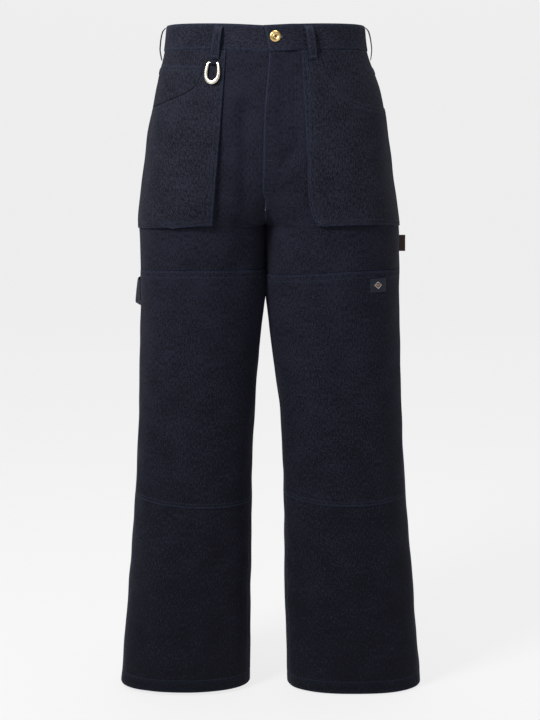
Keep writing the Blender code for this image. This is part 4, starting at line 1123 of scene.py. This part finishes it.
def ringSpot(t):
    down = ring["tip"] - (ring["height"] + ring["tip"]) * math.sin(math.pi * t) ** ring["bend"]
    share = min(max(-down / ring["height"], 0.0), 1.0)
    if share < ring["widest"]:
        half = blend((ring["tipHalf"], ring["half"]), math.sin(math.pi / 2 * share / ring["widest"]))
    else:
        half = ring["half"] * math.sqrt(max(1 - ((share - ring["widest"]) / (1 - ring["widest"])) ** 2, 0.0))
    return Vector((-half if t < 0.5 else half, 0, down)), share


def squared(value):
    return abs(value) ** ring["corner"] * math.copysign(1, value)


def makeRing():
    steps, around = ring["steps"], ring["around"]
    place = placeAt(ringZ)
    spots = []
    for k in range(steps + 1):
        part = abs(k - steps / 2) / (steps / 2)
        spots.append(ringSpot(0.5 + (0.5 if k > steps / 2 else -0.5) * part ** ring["closer"]))
    points, faces = [], []
    for k, (spot, share) in enumerate(spots):
        run = (spots[min(k + 1, steps)][0] - spots[max(k - 1, 0)][0]).normalized()
        across = Vector((-run.z, 0, run.x))
        shrink = math.sqrt(max(1 - max(1 - min(k, steps - k) / 3, 0) ** 2, 0.05))
        width, depth = blend(ring["width"], share) * shrink, ring["depth"] * shrink
        for s in range(around):
            turn = 2 * math.pi * s / around
            flat, deep = squared(math.cos(turn)), squared(math.sin(turn))
            points.append(place @ (spot + across * flat * width / 2 + Vector((0, deep * depth / 2, 0))))
        for s in range(around if k else 0):
            a, b = (k - 1) * around + s, (k - 1) * around + (s + 1) % around
            faces.append((a, b, b + around, a + around))
    faces.append(tuple(range(around)))
    faces.append(tuple(range(len(points) - around, len(points)))[::-1])
    mesh = bpy.data.meshes.new("ring_metal")
    mesh.from_pydata([tuple(p) for p in points], [], faces)
    made = addObject("ring_metal", mesh)
    bpy.ops.mesh.primitive_cylinder_add(
        vertices=24, radius=ring["barRadius"], depth=2 * ring["tipHalf"] - 0.001, rotation=(0, math.pi / 2, 0)
    )
    bar = bpy.context.active_object
    bar.matrix_world = place @ bar.matrix_world
    made.select_set(True)
    bar.select_set(True)
    bpy.context.view_layer.objects.active = made
    bpy.ops.object.join()
    editMode(selectAll, outsideOut)
    bpy.ops.object.shade_smooth_by_angle(angle=math.radians(45))
    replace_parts(toObject("ring_metal", "paleGold", body="ring"), "ring")


def ringTab():
    inner, width = ring["barRadius"] + ring["play"], ring["tabWidth"]
    out = Vector(outward(right, np.array(float(arcAtX(right, ring["x"], ring["z"]))), np.array(ring["z"])))
    place = placeAt((ringZ - out * ringZ.dot(out)).normalized())
    heights = np.linspace(ring["tabTopZ"] - swing["pos_m"][2], 0.0, 5)[:-1]
    turns = np.linspace(math.pi, 2 * math.pi, 22)
    profile = [((-1, 0), h) for h in heights] + [((math.cos(a), math.sin(a)), 0.0) for a in turns]
    profile += [((1, 0), h) for h in heights[::-1]]
    across = (stations(width, 0.0011, ring["tabEdges"], ring["tabEdges"]) - 0.5) * width
    walls = ([], [])
    for x in across:
        edge = 0.00032 * math.exp(-(((width / 2 - abs(x)) / 0.0006) ** 2))
        for wall, radius in zip(walls, (inner + ring["tabWall"] - edge, inner + edge * 0.3)):
            wall.append([tuple(place @ Vector((x, d[0] * radius, d[1] * radius + h))) for d, h in profile])
    outer, inside = (np.array(wall) for wall in walls)
    zero = np.zeros(outer.shape[:2])
    uv = np.stack([zero + across[:, None], zero + np.linspace(0, 0.02, outer.shape[1])], axis=-1)
    made = shell("ring_tab_cloth", outer, inside, uv, "band", zero + 0.15, zero, "band")
    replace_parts(made, "ring_tab")


makeRing()
ringTab()

# a folded tape, thinner at the sewn end and ribbed down its length
sideTape = {"further": 0.0050, "drop": 0.0020, "thick": 0.0018, "gap": 0.0004, "wave": 0.0008, "waves": 190}


def sideTab():
    low, high = (Vector(corner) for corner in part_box("side_tab"))
    high.x += sideTape["further"]
    low.z -= sideTape["drop"]
    high.z -= sideTape["drop"]
    size = high - low
    bpy.ops.mesh.primitive_cube_add(size=1, location=(low + high) / 2)
    made = bpy.context.active_object
    made.dimensions = (size.x - sideTape["gap"], sideTape["thick"], size.z)
    bpy.ops.object.transform_apply(location=False, rotation=False, scale=True)
    editMode(selectAll, lambda: bpy.ops.mesh.subdivide(number_cuts=10))
    for vertex in made.data.vertices:
        vertex.co.y *= 0.75 + 0.45 * (vertex.co.x / size.x + 0.5)
        vertex.co.y += sideTape["wave"] * math.sin(vertex.co.z * sideTape["waves"])
    soften(made, 0.0003, 40)
    made = toObject("side_tab_tape", "tape")
    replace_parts(made, "side_tab")


sideTab()
print("hardware made")


# stitches are capsules of thread laid along rows; profile: along, thick, raised
thread = {
    "pitch": 0.0034, "share": 0.80, "radius": 0.00030, "sink": 0.00006, "sides": 5, "flat": 0.8,
    "profile": ((0.0, 0.0, -0.5), (0.16, 0.72, 0.15), (0.5, 1.0, 0.55), (0.84, 0.72, 0.15), (1.0, 0.0, -0.5)),
}
tackBar = {"pitch": 1.0, "share": 0.98, "radius": 0.00034}  # one stitch for each bar
bundles = {}


def stitchRow(bundle, tree, side, arc, z, height=0.003, pitch=None, material="thread", radius=None,
              share=None):
    share = share or thread["share"]
    point, out = clothPoint(side, np.asarray(arc, float), np.asarray(z, float))
    line, normals = [], []
    for spot, away in zip(point + out * height, out):
        spot, normal, _, _ = trees[tree + "_cloth"].find_nearest(Vector(spot))
        line.append(spot)
        normals.append(normal if normal.dot(Vector(away)) >= 0 else -normal)
    line, normals = np.array(line), np.array(normals)
    length = np.concatenate([[0], np.cumsum(np.linalg.norm(np.diff(line, axis=0), axis=1))])
    count = max(int(round(length[-1] / (pitch or thread["pitch"]))), 1)
    step = length[-1] / count
    starts = (np.arange(count) + 0.5 * (1 - share)) * step
    ends = starts + step * share
    parts = [
        np.stack([np.interp(where, length, values[:, k]) for k in range(3)], axis=-1)
        for values, where in ((line, starts), (line, ends), (normals, (starts + ends) / 2))
    ]
    bundles.setdefault((bundle, material), []).append((*parts, np.full(count, radius or thread["radius"])))


def sewBundles():
    sides = thread["sides"]
    nexts = [(s, (s + 1) % sides) for s in range(sides)]
    for (bundle, material), rows in bundles.items():
        start, end, up, radius = (np.concatenate(part) for part in zip(*rows))
        run = end - start
        length = np.linalg.norm(run, axis=1, keepdims=True)
        run = run / np.maximum(length, 1e-9)
        up = up - run * np.sum(up * run, axis=1, keepdims=True)
        up /= np.maximum(np.linalg.norm(up, axis=1, keepdims=True), 1e-9)
        across = np.cross(run, up)
        points = []
        for along, thick, raised in thread["profile"]:
            centre = start + run * length * along + up * (raised * radius[:, None] - thread["sink"])
            turn = 2 * math.pi * np.arange(sides if thick else 1)[None, :, None] / sides
            around = across[:, None, :] * np.cos(turn) + up[:, None, :] * np.sin(turn) * thread["flat"]
            points.append(centre[:, None, :] + around * (thick * radius)[:, None, None])
        block = np.concatenate(points, axis=1)
        each = block.shape[1]
        tris, fours = [], []
        for s, n in nexts:
            tris += [(0, 1 + n, 1 + s), (each - 1, 1 + 2 * sides + s, 1 + 2 * sides + n)]
        for a in (1, 1 + sides):
            fours += [(a + s, a + n, a + sides + n, a + sides + s) for s, n in nexts]
        offset = (np.arange(len(start)) * each)[:, None, None]
        faces = [(np.array(f)[None] + offset).reshape(-1, len(f[0])).tolist() for f in (tris, fours)]
        mesh = bpy.data.meshes.new(bundle)
        mesh.from_pydata(block.reshape(-1, 3).tolist(), [], faces[0] + faces[1])
        mesh.shade_smooth()
        made = addObject(f"{bundle}_{material}", mesh)
        bpy.context.view_layer.objects.active = made
        made.select_set(True)
        editMode(selectAll, outsideOut)
        bpy.ops.object.select_all(action="DESELECT")
        mesh.materials.append(tones[material])
        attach(made, "trousers")
        print("stitches", made.name, len(start))


def downRow(bundle, tree, side, arcOf, share, off, top, low, **more):
    z = np.linspace(top, low, max(int(abs(top - low) / 0.004), 4))
    stitchRow(bundle, tree, side, arcOf(side, share, z) + off, z, **more)


def acrossRow(bundle, tree, side, arcOf, margin, zAt, count=60, **more):
    share = np.linspace(0, 1, count)
    z = zAt(share)
    stitchRow(bundle, tree, side, arcOf(side, margin + share * (1 - 2 * margin), z), z, **more)


def seatSeam(side, share, z):
    return totalArc(side, z)


def tack(bundle, tree, side, arc, z, wide, tall, turned=False, **more):
    length, half = (tall, wide / 2) if turned else (wide, tall / 2)
    for off in np.linspace(-0.5, 0.5, int(length / 0.0007)) * length:
        bar, across = np.array([off, off + 0.0003]), np.array([-half, half])
        if turned:
            bar, across = across, bar
        stitchRow(bundle, tree, side, arc + bar, z + across, **tackBar, **more)


def sewLeg(side):
    word, hem = nearest(side), cut["hemZ"][side]
    legs, seat, front, back = f"stitches_leg_{word}", f"stitches_seat_{word}", f"front_{word}", f"back_{word}"
    knee, patch = f"knee_panel_{word}", f"back_pocket_{word}"
    hemTop = hem + panel["hemRow"]
    acrossRow(legs, front, side, frontArc, 0.008, lambda s: hemTop + 0 * s)
    acrossRow(legs, back, side, backArc, 0.006, lambda s: hemTop + 0 * s)
    for off in felled:
        downRow(legs, back, side, backArc, 1.0, -off, crotch - 0.006, hem + 0.0006)
    downRow(legs, back, side, backArc, 0.0, 0.0022, -0.330, hem + 0.0006)
    for edge, inward in (("top", -1), ("low", 1)):
        for off in knees["rows"][edge]:
            acrossRow(legs, knee, side, frontArc, 0.016,
                      lambda s: smoothCurve(knees[edge][side], s) + inward * off)
    for off in double:
        acrossRow(seat, f"yoke_{word}", side, backArc, 0.008, lambda s: yokeLow(s) + off)
        for end, inward in ((0.0, 1), (1.0, -1)):
            downRow(seat, patch, side, backPocketArc, end, inward * off, blend((-0.119, -0.132), end), -0.262)
        acrossRow(seat, patch, side, backPocketArc, 0.016, lambda s: backPocketLow(s) + off, count=61)
    for off in backPatch["topRows"]:
        acrossRow(seat, patch, side, backPocketArc, 0.016, lambda s: blend(backPatch["topZ"], s) - off)
    for end in (0.035, 0.965):
        z = blend(backPatch["topZ"], end) - 0.0065
        tack(seat, patch, side, float(backPocketArc(side, end, z)), z, 0.0016, 0.011, turned=True)
    kneeTop, kneeLow = ([z for _, z in knees[edge][side]] for edge in ("top", "low"))
    downRow(legs, front, side, frontArc, 1.0, -0.0024, -0.330, kneeTop[-1] + 0.001)
    downRow(legs, front, side, frontArc, 1.0, -0.0024, kneeLow[-1] - 0.001, hem + 0.001)
    for share, at, off in ((1.0, -1, -0.0046), (0.0, 0, 0.0046)):
        downRow(legs, knee, side, frontArc, share, off, kneeTop[at] - 0.001, kneeLow[at] + 0.001)


def sewPockets(side):
    group, upper = f"stitches_pocket_{nearest(side)}", f"tool_pocket_{nearest(side)}"
    lowZ = pockets[side]["low"][0]
    share, zs = scoopByShare(side)
    shown = (zs < bandLowZ - 0.001) & (share < 0.985)
    arc = pocketArc(side, share[shown], zs[shown])
    slope = np.gradient(zs[shown], arc)
    size = np.sqrt(1 + slope**2)
    along = 0.02 + 0.97 * np.linspace(0, 1, 60)
    for off in double:
        downRow(group, upper, side, pocketArc, 0.0, off, bandLowZ - 0.001, lowZ + 0.003, height=0.012)
        z = lowEdge(side, along) + off
        stitchRow(group, upper, side, pocketArc(side, along, z), z, height=0.012)
        stitchRow(group, upper, side, arc + slope / size * off, zs[shown] - off / size, height=0.012)
    downRow(group, f"tool_pocket_under_{nearest(side)}", side, lambda *at: pocketArc(*at, "underInner"), 0.0,
            0.0016, bandLowZ - 0.001, lowZ + 0.004, height=0.006)
    downRow(group, upper, side, pocketArc, 1.0, -0.0030, -0.131, -0.309, height=0.006)


def sewCoinPocket():
    columns = np.linspace(0.03, 0.99, 30)
    first = coinStart(*scoopByShare(right))
    for off in double:
        z = smoothCurve(coin["top"], columns) - off
        arc = pocketArc(right, first + (1 - first) * columns, z)
        stitchRow("stitches_pocket_right", "coin_pocket", right, arc, z, height=0.006)


def sewBand():
    edge = band["stitchDepth"]
    for side, first in ((right, 0.0835), (left, 0.004)):
        for depth in (edge, cut["bandHeight"] - edge):
            along = np.linspace(first, 1.0, 110)
            arc = bandArc(side, along, np.full(along.shape, depth))
            stitchRow("stitches_band", "waistband", side, arc, bandZ(side, arc, depth), height=0.006)
    depth = np.linspace(edge, cut["bandHeight"] - edge, 16)
    arc = bandArc(left, 0.0, depth) + edge
    stitchRow("stitches_band", "waistband", left, arc, waistLine(left, arc) - depth, height=0.008,
              material="paleThread")


def sewButtonhole():
    middle = float(arcAtX(left, button["x"], button["z"]))
    for k in range(26):
        arc = middle - 0.0035 + 0.0145 * k / 25
        wide = 0.0016 - max(k - 22, 0) * 0.0003
        for sign in (-1, 1):
            z = button["z"] - 0.0008 + sign * np.array([0.0003, wide])
            stitchRow("stitches_band", "waistband", left, [arc, arc], z, height=0.008, pitch=1.0, share=0.98,
                      radius=0.00026, material="tackThread")


flyRow = {"arc": 0.0465, "turnsZ": -0.160, "deep": 0.052, "endArc": 0.0030, "edge": 0.0020}


def sewFly():
    z = np.linspace(bandLowZ - 0.002, -0.300, 70)
    edge = frontStart(left, z) + flyRow["edge"]
    stitchRow("stitches_fly", "front_left", left, edge, z, height=0.005, material="paleThread")
    turn = np.linspace(0, math.pi / 2, 22)[1:]
    for off in (0.0, 0.0060):
        straight, z = flyRow["arc"] - off, np.linspace(bandLowZ - 0.001, flyRow["turnsZ"], 34)
        curved = straight - (straight - flyRow["endArc"]) * (1 - np.cos(turn))
        z = np.concatenate([z, flyRow["turnsZ"] - (flyRow["deep"] - off * 0.8) * np.sin(turn)])
        arc = np.concatenate([np.full(34, straight), curved])
        stitchRow("stitches_fly", "front_left", left, arc, z, height=0.005)
    for z, wide in ((-0.2056, 0.0130), (-0.2554, 0.0120)):
        arc = float(frontStart(left, np.array(z))) + 0.0075
        tack("stitches_fly", "front_left", left, arc, z, wide, 0.0016, height=0.005)
    z = np.linspace(-0.183, -0.246, 20)
    stitchRow("stitches_fly", "front_right", right, 0.0085 - 0.02 * (z + 0.183), z)


def sewLoops():
    for name, (side, topArc, lowArc, _) in loopPlaces.items():
        down = np.linspace(0.02, 0.97, 26)
        for off in (-0.0037, 0.0037):
            arc = blend((topArc, lowArc), down) + off
            stitchRow("stitches_loops", name, side, arc, blend(loops["z"], down), height=0.014)
        for down in (0.045, 0.955):
            tack("stitches_loops", name, side, blend((topArc, lowArc), down), blend(loops["z"], down), 0.0100,
                 0.0018, height=0.014, material="paleThread")
    share = np.linspace(0.02, 0.98, 40)
    for z in (hammer["z"][0] - 0.0024, hammer["z"][1] + 0.0024):
        zs = np.full(share.shape, z)
        stitchRow("stitches_leg_right", "hammer_loop", right, hammerArc(share, zs), zs, height=0.016)
    z = sum(hammer["z"]) / 2
    for share in (0.035, 0.965):
        tack("stitches_leg_right", "hammer_loop", right, float(hammerArc(share, z)), z, 0.0018, 0.030,
             height=0.012)


def labelRow(x, z, **more):
    stitchRow("badge", "woven_label", left, arcAtX(left, x, z), z, **more)


def sewLabel():  # a plain border and a small lozenge
    border, one = 0.0011, {"pitch": 1.0, "share": 1.0, "radius": 0.00028}
    (nearX, farX), (top, low) = label["x"], label["z"]
    for z in (top - border, low + border):
        labelRow(np.linspace(nearX + border, farX - border, 12), np.full(12, z), pitch=0.0022)
    for x in (nearX + border, farX - border):
        labelRow(np.full(12, x), np.linspace(top - border, low + border, 12), pitch=0.0022)
    middle = (top + low) / 2
    for k in range(-11, 12):
        half = 0.0062 * (1 - abs(k) / 11.5)
        x = np.full(2, (nearX + farX) / 2 + k * 0.00055)
        tan = [middle - half + 0.0027, middle + half - 0.0027]
        for sign in (-1, 1):
            ends = [middle + sign * max(half - 0.0022, 0.0), middle + sign * half]
            stitchRow("badge", "woven_label", left, arcAtX(left, x, middle), ends, material="cream", **one)
        if half > 0.0030:
            stitchRow("badge", "woven_label", left, arcAtX(left, x, middle), tan, material="tan", **one)


for side in (right, left):
    sewLeg(side)
    sewPockets(side)
for off in felled:
    downRow("stitches_seat_left", "back_left", left, seatSeam, 1.0, -off, yoke["z"][1] - 0.006, crotch + 0.012)
    downRow("stitches_seat_left", "yoke_left", left, seatSeam, 1.0, -off, -0.036, yoke["z"][1] - 0.002)
sewCoinPocket()
sewBand()
sewFly()
sewLoops()
sewButtonhole()
sewLabel()
sewBundles()
print("stitching done")


studio = {  # a pale sweep, soft lights and the camera
    "floorZ": -1.0868,
    "paper": {
        "Base Color": (0.13, 0.13, 0.13, 1), "Roughness": 0.95, "Specular IOR Level": 0.1,
        "Emission Color": (1, 1, 1, 1), "Emission Strength": 0.77,
    },
    "sweepFrom": 3.6,
    "sweepBend": 1.4,
    "sweepHigh": 6.0,
    "sweepHalf": 7,
    "camera": (0.0072, -2.75, -0.10),
    "pitch": 9.0,
    "lens": 85,
    "world": 0.30,
    "lights": (
        ("key", (-1.3, -1.45, 1.25), 0.8, 62.0),
        ("fill", (2.2, -2.2, 0.7), 1.6, 6.0),
        ("top", (0.1, 0.2, 1.9), 1.4, 30.0),
    ),
    "lightsAt": (0, 0, -0.25),
}


def makeStudio():
    flat, bend, high = studio["sweepFrom"], studio["sweepBend"], studio["sweepHigh"]
    turn = np.linspace(0, math.pi / 2, 16)[1:]
    profile = [(-high, 0.0), (flat, 0.0)]
    profile += [(flat + bend * math.sin(a), bend - bend * math.cos(a)) for a in turn] + [(flat + bend, high)]
    half, count = studio["sweepHalf"], len(profile)
    mesh = bpy.data.meshes.new("sweep")
    points = [(x, y, studio["floorZ"] + z) for x in (-half, half) for y, z in profile]
    mesh.from_pydata(points, [], [(k, k + count, k + count + 1, k + 1) for k in range(count - 1)])
    mesh.shade_smooth()
    mesh.materials.append(newMaterial("paper", studio["paper"])[0])
    addObject("sweep", mesh)
    world = bpy.data.worlds.new("studio")
    world.use_nodes = True
    background = world.node_tree.nodes["Background"].inputs
    background[0].default_value, background[1].default_value = (1.0, 1.0, 1.0, 1), studio["world"]
    scene = bpy.context.scene
    scene.world = world
    scene.view_settings.view_transform = "Standard"
    for name, place, size, power in studio["lights"]:
        light = bpy.data.lights.new(name, "AREA")
        light.shape, light.size, light.energy = "DISK", size, power
        lamp = addObject(name, light)
        lamp.location = place
        lamp.rotation_euler = (Vector(studio["lightsAt"]) - Vector(place)).to_track_quat("-Z", "Y").to_euler()
    lens = bpy.data.cameras.new("camera")
    lens.lens, lens.sensor_width, lens.sensor_fit = studio["lens"], 36, "AUTO"
    camera = addObject("camera", lens)
    camera.location = studio["camera"]
    camera.rotation_euler = (math.radians(90 - studio["pitch"]), 0, 0)
    scene.camera = camera


makeStudio()
